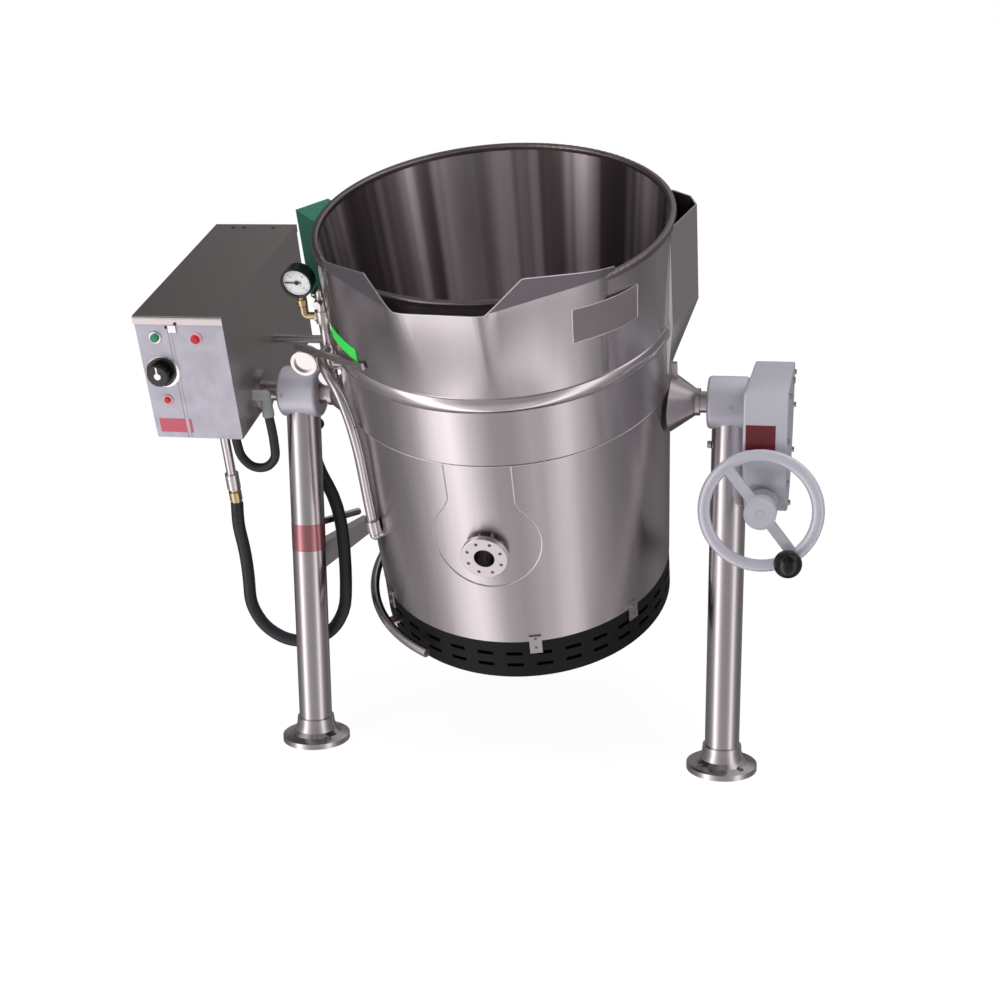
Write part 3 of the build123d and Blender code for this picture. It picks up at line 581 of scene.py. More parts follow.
# ---------------------------------------------------------------- settings
class KettleFinish(bpy.types.PropertyGroup):
    """Sizes and colours that a user would change."""
    steel_colour: bpy.props.StringProperty(
        name="Steel colour", description="Light tone of the polished stainless steel, sRGB hex",
        default="D3CECF")
    steel_shade: bpy.props.StringProperty(
        name="Steel shade", description="Dark tone of the polished stainless steel, sRGB hex",
        default="BBB4B6")
    enamel_colour: bpy.props.StringProperty(
        name="Enamel colour", description="Paint of the bearing and gear housings, sRGB hex",
        default="C6C5CF")
    hose_radius: bpy.props.FloatProperty(
        name="Hose radius", description="Outer radius of the gas hose", default=0.014, unit="LENGTH")
    conduit_radius: bpy.props.FloatProperty(
        name="Conduit radius", description="Outer radius of the wiring conduit", default=0.010, unit="LENGTH")


class KettleStage(bpy.types.PropertyGroup):
    """Studio settings."""
    floor_size: bpy.props.FloatProperty(
        name="Floor size", description="Width of the pale floor", default=14.0, unit="LENGTH")
    focal_share: bpy.props.FloatProperty(
        name="Focal length share", description="Focal length over the sensor's width", default=1.562162)
    room_radius: bpy.props.FloatProperty(
        name="Room radius", description="Distance of the room that reflections see", default=25.0,
        unit="LENGTH")


# the camera's place in millimetres, the way it looks and its roll in degrees
CAMERA_PLACE = (660.908, -3154.694, 1357.099)
CAMERA_FORWARD = (-0.20637, 0.94951, -0.23632)
CAMERA_ROLL = -0.594
SENSOR_WIDTH = 36.0
# the lamps stand round this point and aim at it
LAMPS_MIDDLE = ground(0, 0, 800)


class KETTLE_OT_stage(bpy.types.Operator):
    """Set the camera, the soft lights and the pale floor"""
    bl_idname = "kettle.stage"
    bl_label = "Stage"

    def execute(self, context):
        scene = context.scene
        scene.view_settings.view_transform = "Standard"
        place_camera(scene, scene.kettle_stage)
        light_world(scene)
        floor = make_floor(scene.kettle_stage)
        floor.visible_glossy = False
        room = make_room(scene.kettle_stage)
        make_lamps()
        return {"FINISHED"}


def place_camera(scene, stage):
    """Stand the camera in front, to the right and above, with its level a hair off."""
    data = bpy.data.cameras.new("camera")
    camera = bpy.data.objects.new("camera", data)
    scene.collection.objects.link(camera)
    data.sensor_width = SENSOR_WIDTH
    data.lens = SENSOR_WIDTH * stage.focal_share
    data.clip_start = 0.1
    data.clip_end = 60.0
    forward = Vector(CAMERA_FORWARD).normalized()
    right = forward.cross(Vector((0, 0, 1))).normalized()
    up = right.cross(forward)
    roll = math.radians(CAMERA_ROLL)
    across = right * math.cos(roll) + up * math.sin(roll)
    upward = -right * math.sin(roll) + up * math.cos(roll)
    turn = Matrix((across, upward, -forward)).transposed()
    camera.matrix_world = Matrix.Translation(ground(*CAMERA_PLACE)) @ turn.to_4x4()
    scene.camera = camera


# The room that polished steel mirrors, in azimuths from the pouring side in degrees. Each of its heights has
# the tones of the front, the sides and the back, and its lights: middle, half width, soft edge, strength, and
# the strength and reach of the glow round it. Two tall windows stand in front, with their light on the floor
# below them, two dim ones behind, and four strip lamps hang from the dark ceiling.
ROOM_WALLS = (0.38, 0.20, 0.11, (
    (-45, 8, 7.5, 1.95, 0.22, 26), (-26, 3, 8, 0.77, 0, 0), (61, 5, 10, 1.3, 0.22, 18),
    (144, 5, 14, 0.235, 0, 0), (-155, 5, 25, 0.23, 0, 0),
))
ROOM_FLOOR = (0.57, 0.34, 0.06, (
    (-44, 8, 10, 1.98, 0.44, 20), (34, 2, 12, 0.72, 0, 0), (62.5, 4.5, 8, 1.55, 0.12, 8),
))
ROOM_CEILING = (0.07, 0.07, 0.07, (
    (-67, 7, 26, 0.72, 0, 0), (-9, 1, 13, 0.5, 0, 0), (89.5, 6.5, 18, 1.2, 0, 0), (158, 19, 38, 0.52, 0, 0),
))
SIDE_END = 105.0
BACK_START = 140.0
ROOM_TINT = (1.0, 0.955, 0.975)
# a ramp's colours end at white, so brighter tones are scaled down in it and up again in the emission
RAMP_SCALE = 0.5


def room_tone(azimuth, front, side, back, lights):
    """Brightness of the room at one height in the direction of an azimuth."""
    far = abs(azimuth)
    if far < SIDE_END:
        tone = front + (side - front) * far / SIDE_END
    else:
        tone = side + (back - side) * min(1.0, (far - SIDE_END) / (BACK_START - SIDE_END))
    for middle, half, soft, strength, glow, reach in lights:
        off = abs((azimuth - middle + 180) % 360 - 180)
        if off <= half:
            tone = strength
        elif off < half + soft:
            tone = strength + (tone + glow - strength) * (off - half) / soft
        elif off < half + soft + reach:
            tone += glow * (1 - (off - half - soft) / reach)
    return tone


def room_ramp(tree, share, height_of_room):
    """Colour by azimuth at one height of the room, with a stop wherever a tone turns."""
    turns = {-180, -BACK_START, -SIDE_END, 0, SIDE_END, BACK_START, 180}
    for middle, half, soft, _, _, reach in height_of_room[3]:
        for off in (half, half + soft, half + soft + reach):
            for azimuth in (middle - off, middle + off):
                turns.add((azimuth + 180) % 360 - 180)
    ramp = node(tree, "ShaderNodeValToRGB", {}, {0: share})
    stops = ramp.color_ramp.elements
    while len(stops) < len(turns):
        stops.new(1.0)
    for stop, azimuth in zip(stops, sorted(turns)):
        tone = room_tone(azimuth, *height_of_room) * RAMP_SCALE
        stop.position = azimuth / 360 + 0.5
        stop.color = (*(tone * c for c in ROOM_TINT), 1.0)
    return ramp.outputs[0]


def room_paint():
    """Emission of the room that the steel mirrors: windows, walls, floor and ceiling by direction."""
    made = bpy.data.materials.new("reflected_room")
    made.use_nodes = True
    tree = made.node_tree
    tree.nodes.clear()
    where = node(tree, "ShaderNodeTexCoord")
    ray = node(tree, "ShaderNodeVectorMath", {"operation": "NORMALIZE"}, {0: where.outputs["Object"]})
    part = node(tree, "ShaderNodeSeparateXYZ", {}, {0: ray.outputs[0]})
    back = node(tree, "ShaderNodeMath", {"operation": "MULTIPLY"}, {0: part.outputs[1], 1: -1.0})
    angle = node(tree, "ShaderNodeMath", {"operation": "ARCTAN2"}, {0: part.outputs[0], 1: back.outputs[0]})
    share = node(tree, "ShaderNodeMapRange", {}, {"Value": angle.outputs[0], "From Min": -math.pi,
                                                  "From Max": math.pi})
    walls = room_ramp(tree, share.outputs[0], ROOM_WALLS)
    floor = room_ramp(tree, share.outputs[0], ROOM_FLOOR)
    ceiling = room_ramp(tree, share.outputs[0], ROOM_CEILING)
    low = node(tree, "ShaderNodeMapRange", {"interpolation_type": "SMOOTHSTEP"},
               {"Value": part.outputs[2], "From Min": -0.35, "From Max": -0.75})
    high = node(tree, "ShaderNodeMapRange", {"interpolation_type": "SMOOTHSTEP"},
                {"Value": part.outputs[2], "From Min": 0.32, "From Max": 0.58})
    sides = colours_mixed(tree, low.outputs[0], walls, floor)
    whole = colours_mixed(tree, high.outputs[0], sides, ceiling)
    glow = node(tree, "ShaderNodeEmission", {}, {"Color": whole, "Strength": 1 / RAMP_SCALE})
    node(tree, "ShaderNodeOutputMaterial", {}, {"Surface": glow.outputs[0]})
    return made


def make_room(stage):
    """The dim workshop as a big dome that only reflections see, so that the steel has something to mirror."""
    points = []
    rings = 24
    sides = 48
    for i in range(1, rings):
        polar = math.pi * i / rings
        for k in range(sides):
            turn = math.tau * k / sides
            flat = math.sin(polar)
            point = Vector((flat * math.cos(turn), flat * math.sin(turn), math.cos(polar)))
            points.append(point * stage.room_radius)
    points.append(Vector((0, 0, stage.room_radius)))
    points.append(Vector((0, 0, -stage.room_radius)))
    top = len(points) - 2
    faces = []
    for k in range(sides):
        after = (k + 1) % sides
        faces.append((top, after, k))
        faces.append((top + 1, (rings - 2) * sides + k, (rings - 2) * sides + after))
        for i in range(rings - 2):
            a = i * sides
            faces.append((a + k, a + after, a + sides + after, a + sides + k))
    made = add_mesh("room_dome", points, faces, room_paint(), None, smooth=False)
    made.visible_camera = False
    made.visible_diffuse = False
    made.visible_transmission = False
    made.visible_volume_scatter = False
    made.visible_shadow = False
    return made


def light_world(scene):
    """White background to camera, glossy and glass rays, and plain soft light on the object."""
    world = bpy.data.worlds.new("studio")
    scene.world = world
    world.use_nodes = True
    tree = world.node_tree
    tree.nodes.clear()
    path = node(tree, "ShaderNodeLightPath")
    looked = node(tree, "ShaderNodeMath", {"operation": "MAXIMUM"},
                  {0: path.outputs["Is Camera Ray"], 1: path.outputs["Is Transmission Ray"]})
    seen = node(tree, "ShaderNodeMath", {"operation": "MAXIMUM"},
                {0: looked.outputs[0], 1: path.outputs["Is Glossy Ray"]})
    plain = node(tree, "ShaderNodeBackground", {}, {"Color": (1, 1, 1, 1), "Strength": 0.45})
    white = node(tree, "ShaderNodeBackground", {}, {"Color": (1, 1, 1, 1), "Strength": 1.0})
    mix = node(tree, "ShaderNodeMixShader", {}, {0: seen.outputs[0], 1: plain.outputs[0],
                                                 2: white.outputs[0]})
    node(tree, "ShaderNodeOutputWorld", {}, {"Surface": mix.outputs[0]})


def make_floor(stage):
    """A pale floor, white to the camera, that keeps the kettle's soft shadow."""
    half = stage.floor_size / 2
    points = [(-half, -half, -0.0005), (half, -half, -0.0005), (half, half, -0.0005), (-half, half, -0.0005)]
    made = bpy.data.materials.new("floor_white")
    made.use_nodes = True
    tree = made.node_tree
    shader = tree.nodes["Principled BSDF"]
    shader.inputs["Base Color"].default_value = linear("F4F4F4")
    shader.inputs["Roughness"].default_value = 0.9
    shader.inputs["Specular IOR Level"].default_value = 0.0
    path = node(tree, "ShaderNodeLightPath")
    glow = node(tree, "ShaderNodeEmission", {}, {"Color": (1, 1, 1, 1), "Strength": 1.02})
    where = node(tree, "ShaderNodeTexCoord")
    out = node(tree, "ShaderNodeVectorMath", {"operation": "LENGTH"}, {0: where.outputs["Object"]})
    glowing = node(tree, "ShaderNodeMapRange", {}, {"Value": out.outputs["Value"], "From Min": 0.9,
                                                    "From Max": 2.4, "To Min": 0.93, "To Max": 1.0})
    share = node(tree, "ShaderNodeMath", {"operation": "MULTIPLY"},
                 {0: path.outputs["Is Camera Ray"], 1: glowing.outputs[0]})
    mix = node(tree, "ShaderNodeMixShader", {}, {0: share.outputs[0], 1: shader.outputs[0],
                                                 2: glow.outputs[0]})
    tree.links.new(mix.outputs[0], tree.nodes["Material Output"].inputs["Surface"])
    return add_mesh("floor", points, [(0, 1, 2, 3)], made, None, smooth=False)


def area_lamp(name, place, width, height, power):
    """A soft lamp that points at the kettle's middle and is not seen in reflections."""
    data = bpy.data.lights.new(name, "AREA")
    data.shape = "RECTANGLE"
    data.size = width
    data.size_y = height
    data.energy = power
    made = bpy.data.objects.new(name, data)
    bpy.context.scene.collection.objects.link(made)
    made.location = place
    made.rotation_mode = "QUATERNION"
    made.rotation_quaternion = (LAMPS_MIDDLE - place).to_track_quat("-Z", "Y")
    made.visible_glossy = False
    return made


def sky_point(azimuth, elevation, distance):
    """A point seen from the kettle's middle at an azimuth from the pouring side and an elevation."""
    a = math.radians(azimuth)
    e = math.radians(elevation)
    way = Vector((math.sin(a) * math.cos(e), -math.cos(a) * math.cos(e), math.sin(e)))
    return LAMPS_MIDDLE + way * distance


def make_lamps():
    """Two lamps in front and one overhead."""
    return [
        area_lamp("lamp_left", sky_point(-40, 42, 3.2), 0.9, 1.6, 60),
        area_lamp("lamp_right", sky_point(58, 42, 3.2), 0.7, 1.6, 48),
        area_lamp("lamp_top", sky_point(0, 88, 2.6), 2.0, 2.0, 48),
    ]


class KETTLE_OT_frame_finishes(bpy.types.Operator):
    """Give every CAD piece the finish of its real material"""
    bl_idname = "kettle.frame_finishes"
    bl_label = "Finishes of the solid pieces"

    def execute(self, context):
        size = context.scene.kettle_finish
        slots = {s["node"]: s["material_slot"] for s in frame["record"]["subparts"]}
        for name, made in frame["nodes"].items():
            finish = NODE_FINISHES.get(name, FINISHES[slots[name]])
            made.data.materials.clear()
            made.data.materials.append(finish(size))
        solids = frame["nodes"]
        # the lip's wings get a darker colour: painted shade
        second_finish(solids["pour_lip"], lip_wing_painted_shade(size), lambda p: kettle_height(p) > 417)
        second_finish(solids["pilot_lamps"], lamp_green(size), lambda p: (p - ORIGIN).x < -0.65)
        second_finish(solids["gas_nipple"], brass_pale(size), lambda p: console_height(p) < -212)
        return {"FINISHED"}


def second_finish(made, material, chosen):
    """A second material on the faces whose middle, in the row frame, is chosen."""
    made.data.materials.append(material)
    for face in made.data.polygons:
        if chosen(made.matrix_world @ face.center):
            face.material_index = 1


def kettle_height(p):
    """Height of a row-frame point along the kettle's own axis, in millimetres about the trunnions."""
    return (Matrix.Rotation(-TILT, 3, "X") @ (p - TRUNNION - ORIGIN)).z * 1000


def console_height(p):
    """Height of a row-frame point in the console's own frame, in millimetres about the trunnions."""
    return (Matrix.Rotation(-LEAN, 3, "X") @ (p - TRUNNION - ORIGIN)).z * 1000


# the hose hangs from the console's nipple and rises behind the left leg to the gas inlet
HOSE_START = (-628, -60, -252)
HOSE_ROUTE = (
    (-628, 21.8, 486), (-627, 53, 412), (-625, 62, 350), (-625, 64, 288), (-595, 66, 235), (-542, 66, 205),
    (-482, 66, 205), (-429, 66, 235), (-399, 66, 288), (-395, 66, 352), (-396, 66, 424), (-402, 65, 496),
    (-417, 64, 552), (-444, 63, 602), (-456, 62, 637), (-456, 62, 668),
)


class KETTLE_OT_gas_hose(bpy.types.Operator):
    """Make the rubber gas hose that hangs between the console and the left leg"""
    bl_idname = "kettle.gas_hose"
    bl_label = "Gas hose"

    def execute(self, context):
        size = context.scene.kettle_finish
        points = [on_console(*HOSE_START)]
        points += [ground(*p) for p in HOSE_ROUTE]
        path = rounded(points, route_radii(points))
        made = tube("gas_hose_tube", path, size.hose_radius, hose_rubber(size), None, sides=20)
        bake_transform(made)
        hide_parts("gas_hose")
        return {"FINISHED"}


# a loop below the console's floor: across and up in the console's frame, all in one plane
CONDUIT_ROUTE = (
    (-604, -37), (-604, -82), (-600, -134), (-577, -161),
    (-544, -161), (-519, -136), (-516, -82), (-519, -28),
)
CONDUIT_Y = -58
KNUCKLE_RADIUS = 0.0118


class KETTLE_OT_conduit(bpy.types.Operator):
    """Make the wiring conduit under the console, with its grey tapered connector"""
    bl_idname = "kettle.conduit"
    bl_label = "Wiring conduit"

    def execute(self, context):
        size = context.scene.kettle_finish
        points = [on_console(x, CONDUIT_Y, z) for x, z in CONDUIT_ROUTE]
        path = rounded(points, route_radii(points))
        made = tube("conduit_tube", path, size.conduit_radius, hose_rubber(size), "kettle", sides=20)
        grey = connector_grey(size)
        along = direction(on_console, 0, 0, 1)
        side = direction(on_console, 1, 0, 0)
        taper = [(0.0101, 0), (0.0128, 0), (0.0128, 0.006), (0.0112, 0.046), (0.0101, 0.048)]
        foot = on_console(-519, CONDUIT_Y, -30)
        middle = on_console(-519, CONDUIT_Y, 18)
        end = on_console(-544.6, CONDUIT_Y, 18)
        cone = turned("conduit_connector", taper, foot, along, grey, "kettle", sides=32)
        ball = [(AXIS_GAP, -KNUCKLE_RADIUS)]
        for degrees in range(-75, 90, 15):
            a = math.radians(degrees)
            ball.append((KNUCKLE_RADIUS * math.cos(a), KNUCKLE_RADIUS * math.sin(a)))
        ball.append((AXIS_GAP, KNUCKLE_RADIUS))
        knuckle = turned("conduit_elbow", ball, middle, along, grey, "kettle", closed=False)
        pin = [(AXIS_GAP, 0), (0.0116, 0), (0.0116, 0.024), (AXIS_GAP, 0.024)]
        stub = turned("conduit_stub", pin, end, side, grey, "kettle", closed=False)
        for piece in (made, cone, knuckle, stub):
            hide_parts("conduit")
        return {"FINISHED"}


GAUGE = (-402, -48, 292)
# the scale starts at the lower left and runs clockwise, with a long mark at every fifth step
GAUGE_START = 225
GAUGE_STEP = 9
GAUGE_MARKS = 31
GAUGE_SCALE_RADIUS = 26.5


class KETTLE_OT_gauge_face(bpy.types.Operator):
    """Lay the white dial with its marks and plain numbers in the gauge"""
    bl_idname = "kettle.gauge_face"
    bl_label = "Gauge face"

    def execute(self, context):
        size = context.scene.kettle_finish
        x, y, z = GAUGE
        front = direction(upright, 0, -1, 0)
        dial = disc("gauge_dial", upright(x, y - 8.1, z), front, 0.029, 0.0006, white_dial(size), "kettle",
                    hole=0.0025)
        points = []
        faces = []
        for k in range(GAUGE_MARKS):
            a = math.radians(GAUGE_START - GAUGE_STEP * k)
            long = 4.2 if k % 5 == 0 else 2.4
            half = 0.45 if k % 5 == 0 else 0.22
            for r in (GAUGE_SCALE_RADIUS - long, GAUGE_SCALE_RADIUS):
                for side in (-half, half):
                    px = x + r * math.cos(a) - side * math.sin(a)
                    pz = z + r * math.sin(a) + side * math.cos(a)
                    points.append(upright(px, y - 8.85, pz))
            base = 4 * k
            faces.append((base, base + 1, base + 3, base + 2))
        marks = add_mesh("gauge_marks", points, faces, dark_paint(size), "kettle", smooth=False)
        for k in range(0, GAUGE_MARKS, 10):
            a = math.radians(GAUGE_START - GAUGE_STEP * k)
            number(str(k // 10 * 20), x + 17.5 * math.cos(a), z + 17.5 * math.sin(a), y - 8.85, 4.6, size)
        return {"FINISHED"}


def number(text, x, z, y, tall, size):
    """A plain number on the gauge, made into a mesh."""
    curve = bpy.data.curves.new("gauge_number_" + text, "FONT")
    curve.body = text
    curve.size = tall / 1000
    curve.align_x = "CENTER"
    curve.align_y = "CENTER"
    curve.resolution_u = 3
    shape = bpy.data.objects.new("number_curve", curve)
    bpy.context.scene.collection.objects.link(shape)
    bpy.context.view_layer.update()
    mesh = bpy.data.meshes.new_from_object(shape)
    points = [upright(x + v.co.x * 1000, y, z + v.co.y * 1000) for v in mesh.vertices]
    faces = [tuple(f.vertices) for f in mesh.polygons]
    bpy.data.objects.remove(shape)
    made = add_mesh("gauge_number_" + text, points, faces, dark_paint(size), "kettle", smooth=False)
    return made


PANEL_Y = -152


class KETTLE_OT_console_details(bpy.types.Operator):
    """Add the console's bezels, latch, seam, dial mark, screws and bare sticker"""
    bl_idname = "kettle.console_details"
    bl_label = "Console details"

    def execute(self, context):
        size = context.scene.kettle_finish
        front = direction(on_console, 0, -1, 0)
        up = direction(on_console, 0, 0, 1)
        bright = bright_steel(size)
        dark = dark_paint(size)
        pink = pink_plastic(size)
        # name, place on the panel, radius, thickness, finish and hole of each ring
        rings = (
            ("lamp_bezel_green", -695, 196, 0.0130, 0.003, bright, 0.0093),
            ("lamp_bezel_red", -607, 195, 0.0130, 0.003, pink, 0.0093),
            ("button_bezel", -695, 53, 0.0122, 0.002, pink, 0.0065),
            ("dial_collar", -692, 118, 0.0355, 0.0012, bright, 0.0200),
        )
        for name, x, z, radius, thick, finish, hole in rings:
            disc(name, on_console(x, PANEL_Y, z), front, radius, thick, finish, "kettle", hole=hole)
        slab("dial_pointer", on_console, (-697.6, -177.0, 121), (-694.4, -175.9, 139), bright, "dial")
        disc("dial_cap", on_console(-696, -176.0, 118), front, 0.0075, 0.0012, bright, "dial")
        # name, two corners and finish of each flat piece round the panel's joint
        plates = (
            ("panel_seam", (-665.6, -152.35, -36), (-664.6, -151.9, 225), dark),
            ("panel_fold", (-664.6, -152.7, -36), (-658.0, -151.9, 225), panel_steel(size)),
            ("latch_plate", (-663, -154.4, 208), (-646, -152.0, 224), bright),
        )
        for name, low, high, finish in plates:
            slab(name, on_console, low, high, finish, "kettle")
        # two dark discs beside the latch: painted shade standing for its holes
        disc("latch_hole_painted_shade_667", on_console(-667, -152.2, 219), front, 0.0035, 0.0012, dark, "kettle")
        disc("latch_hole_painted_shade_645", on_console(-645, -155.2, 228), front, 0.0035, 0.0012, dark, "kettle")
        slab("panel_sticker", on_console, (-724, -152.5, -24), (-652, -152.0, 8), faded_red(size), "kettle")
        domed = [(0.0048, 0.0), (0.0040, 0.0014), (0.0022, 0.0025), (AXIS_GAP, 0.0028)]
        for k, x in enumerate((-688, -662, -592, -570)):
            finish = brass_metal if k == 3 else dark_paint
            place = on_console(x, 322, 243.5)
            turned("lid_screw_%d" % k, domed, place, up, finish(size), "kettle", sides=20, closed=False)
        return {"FINISHED"}


# Sizes of the lip in millimetres and degrees: how far it is turned from the front, where its sides end, its
# flat front's distance from the axis and half width, its radii at the sides, and its heights.
LIP_TURN = -3.0
LIP_END = 53.0
LIP_FRONT = 393.3
LIP_HALF = 84.0
LIP_ROUND = 355.8
LIP_FOOT = 345.6
LIP_LOW = 212.0
RIM_HEIGHT = 414.0
LIP_SHEET = 2.0
# the sheet's ends sink into the band over the last degrees, so that no step shows
SINK_START = 46.0
SINK_DEPTH = 3.5
# the wings rise from the notch, fall slowly from the peak and faster past the shoulder
NOTCH_LOW = 410.0
WING_SLOPE = 70.0 / 82.0
WING_PEAK = (140.0, 462.0)
WING_SHOULDER = (262.0, 430.0)
WING_END = (300.0, 414.0)


def lip_plan(degrees):
    """Plan radius of the lip at the rim: flat front, straight cheeks, then round, with eased corners."""
    corner = math.degrees(math.atan2(LIP_HALF, LIP_FRONT))
    reach = math.hypot(LIP_HALF, LIP_FRONT)
    touch = corner + math.degrees(math.acos(LIP_ROUND / reach))
    total = 0.0
    # a mean over six degrees eases the corners
    for shift, share in ((-3.0, 0.15), (-1.5, 0.22), (0.0, 0.26), (1.5, 0.22), (3.0, 0.15)):
        a = abs(degrees + shift)
        if a <= corner:
            r = LIP_FRONT / math.cos(math.radians(a))
        elif a < touch:
            r = LIP_ROUND / math.cos(math.radians(touch - a))
        else:
            r = LIP_ROUND
        total += share * r
    return total


def lip_top(x):
    """Height of the lip's upper edge: the notch in the middle, a wing rising and falling on each side."""
    far = abs(x)
    rising = NOTCH_LOW + max(0.0, far - LIP_HALF) * WING_SLOPE
    if far < WING_PEAK[0]:
        return rising
    if far < WING_SHOULDER[0]:
        return min(rising, between(WING_PEAK, WING_SHOULDER, far))
    return max(RIM_HEIGHT, between(WING_SHOULDER, WING_END, far))


def between(first, last, x):
    """Height at x on the straight line through two points."""
    return first[1] + (last[1] - first[1]) * (x - first[0]) / (last[0] - first[0])


def lip_point(degrees, height, grow):
    """A point of the lip's sheet: bulging forward towards the rim, and sunk into the band at its ends."""
    share = min(1.0, (height - LIP_LOW) / (RIM_HEIGHT - LIP_LOW))
    bulge = share * share * (3 - 2 * share) * 0.35 + share * 0.65
    radius = LIP_FOOT + (lip_plan(degrees) - LIP_FOOT) * bulge + grow
    sunk = max(0.0, (abs(degrees) - SINK_START) / (LIP_END - SINK_START))
    sunk = sunk * sunk * (3 - 2 * sunk)
    radius += (band_radius(height) - SINK_DEPTH - radius) * sunk
    return around(radius, degrees + LIP_TURN, height)


class KETTLE_OT_pour_lip(bpy.types.Operator):
    """Make the pouring lip with its smooth bulge, crisp fold and wings"""
    bl_idname = "kettle.pour_lip"
    bl_label = "Pouring lip"

    def execute(self, context):
        size = context.scene.kettle_finish
        columns = 212
        lower_rows = 12
        wing_rows = 3
        rows = lower_rows + wing_rows + 1
        points = []
        for grow in (LIP_SHEET, 0.0):
            for k in range(columns + 1):
                degrees = -LIP_END + 2 * LIP_END * k / columns
                top = lip_top(lip_plan(degrees) * math.sin(math.radians(degrees)))
                fold = min(top, RIM_HEIGHT)
                for j in range(rows):
                    if j <= lower_rows:
                        height = LIP_LOW + (fold - LIP_LOW) * j / lower_rows
                    else:
                        height = fold + (top - fold) * (j - lower_rows) / wing_rows
                    points.append(lip_point(degrees, height, grow))
        faces = lip_faces(columns, rows)
        made = add_mesh("pour_lip_sheet", points, faces, brushed_vessel_steel(size), "kettle", angle=50.0)
        # the wings above the fold get a darker colour: painted shade
        second_finish(made, lip_wing_painted_shade(size), lambda p: kettle_height(p) > RIM_HEIGHT + 0.3)
        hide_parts("pour_lip")
        edge = points[rows - 1:(columns + 1) * rows:rows]
        rim = tube("pour_lip_edge", edge, 0.0011, seam_light(size), "kettle", sides=6)
        return {"FINISHED"}


def lip_faces(columns, rows):
    """Outer and inner sheets, and the strips that close their four edges."""
    faces = []
    inner = (columns + 1) * rows
    for k in range(columns):
        for j in range(rows - 1):
            a = k * rows + j
            b = a + rows
            faces.append((a, b, b + 1, a + 1))
            faces.append((a + inner, a + 1 + inner, b + 1 + inner, b + inner))
        low = k * rows
        top = low + rows - 1
        faces.append((low, low + inner, low + rows + inner, low + rows))
        faces.append((top, top + rows, top + rows + inner, top + inner))
    for column in (0, columns):
        for j in range(rows - 1):
            a = column * rows + j
            if column == 0:
                faces.append((a, a + 1, a + 1 + inner, a + inner))
            else:
                faces.append((a, a + inner, a + 1 + inner, a + 1))
    return faces


# the outlet's patch on the skirt, in millimetres
PATCH_HALF = 67.0
PATCH_RADIUS = 110.0
PATCH_MIDDLE = -138.0
PATCH_SIDE = (50, 20, -15, -36)
# the bead under the band, in metres
BEAD_WALL = 0.3386
BEAD_BACK = 0.3380
BEAD_DEPTH = 0.0100
BEAD_MIDDLE = 0.191
BEAD_HALF = 0.0175
# angle, low edge and high edge of the left and right ends of the bare plate and of the film
PLATE_ENDS = ((34, 301, 370), (59, 294, 364))
FILM_ENDS = ((-58, 244, 272), (-40, 236, 264))


class KETTLE_OT_vessel_details(bpy.types.Operator):
    """Add the weld seams, the bare plate and the scrap of film on the vessel"""
    bl_idname = "kettle.vessel_details"
    bl_label = "Vessel details"

    def execute(self, context):
        size = context.scene.kettle_finish
        tube("outlet_seam", outlet_seam_path(), 0.0013, seam_light(size), "kettle", sides=8)
        up = direction(upright, 0, 0, 1)
        middle = upright(0, 0, 0)
        roll = turned("bead_roll", bead_profile(), middle, up, bright_steel(size), "kettle", sides=180)
        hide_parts("bead_ring")
        lower = [around(334.4, a, 50.5) for a in range(0, 360, 4)]
        tube("jacket_seam", lower, 0.0014, seam_light(size), "kettle", sides=8, closed=True)
        plate = strip_on_kettle("band_plate", PLATE_ENDS, plate_radius, 0.0, plate_grey(size))
        for made in (plate, plate_border(size)):
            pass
        strip_on_kettle("film_scrap", FILM_ENDS, film_radius, 0.4, film_green(size))
        return {"FINISHED"}


def outlet_seam_path():
    """Weld line round the outlet's patch: two straight sides from the jacket's seam and most of a circle."""
    path = [on_skirt(PATCH_HALF, height) for height in PATCH_SIDE]
    flare = int(math.degrees(math.asin(PATCH_HALF / PATCH_RADIUS)))
    for degrees in range(flare + 6, 355 - flare, 6):
        a = math.radians(degrees)
        path.append(on_skirt(PATCH_RADIUS * math.sin(a), PATCH_MIDDLE + PATCH_RADIUS * math.cos(a)))
    path += [on_skirt(-PATCH_HALF, height) for height in reversed(PATCH_SIDE)]
    return path


def bead_profile():
    """Section of the rolled bead in metres: half an ellipse standing out from the wall."""
    profile = []
    for degrees in range(0, 181, 12):
        a = math.radians(degrees)
        profile.append((BEAD_WALL + BEAD_DEPTH * math.sin(a), BEAD_MIDDLE - BEAD_HALF * math.cos(a)))
    profile += [(BEAD_BACK, BEAD_MIDDLE + BEAD_HALF), (BEAD_BACK, BEAD_MIDDLE - BEAD_HALF)]
    return profile


def film_radius(degrees, height):
    """The scrap of film lies just over the lip."""
    return lip_radius(height) + 0.5


def on_skirt(x, height):
    """A point on the skirt's front, by its distance from the middle line and its height."""
    r = skirt_radius(height) + 0.4
    return around(r, math.degrees(math.asin(x / r)), height)


def plate_radius(degrees, height):
    """The plate lies on the lip, and past the lip's edge it closes down to the band."""
    past = min(1.0, max(0.0, (degrees - 50.5) / 8))
    return (lip_radius(height) + 0.8) * (1 - past) + (band_radius(height) + 1.4) * past


def plate_border(size):
    """Pale raised edge round the plate."""
    (left, left_low, left_high), (right, right_low, right_high) = PLATE_ENDS
    corners = [(left, left_low), (left, left_high), (right, right_high), (right, right_low)]
    points = []
    for (a0, h0), (a1, h1) in zip(corners, corners[1:] + corners[:1]):
        for k in range(10):
            t = k / 10
            degrees = a0 + (a1 - a0) * t
            height = h0 + (h1 - h0) * t
            points.append(around(plate_radius(degrees, height) + 0.3, degrees, height))
    return tube("band_plate_edge", points, 0.0009, seam_light(size), "kettle", sides=6, closed=True)


# the plate is bent to the round front of the gear housing, about the trunnion line
GEAR_PLATE_RADIUS = 215.4


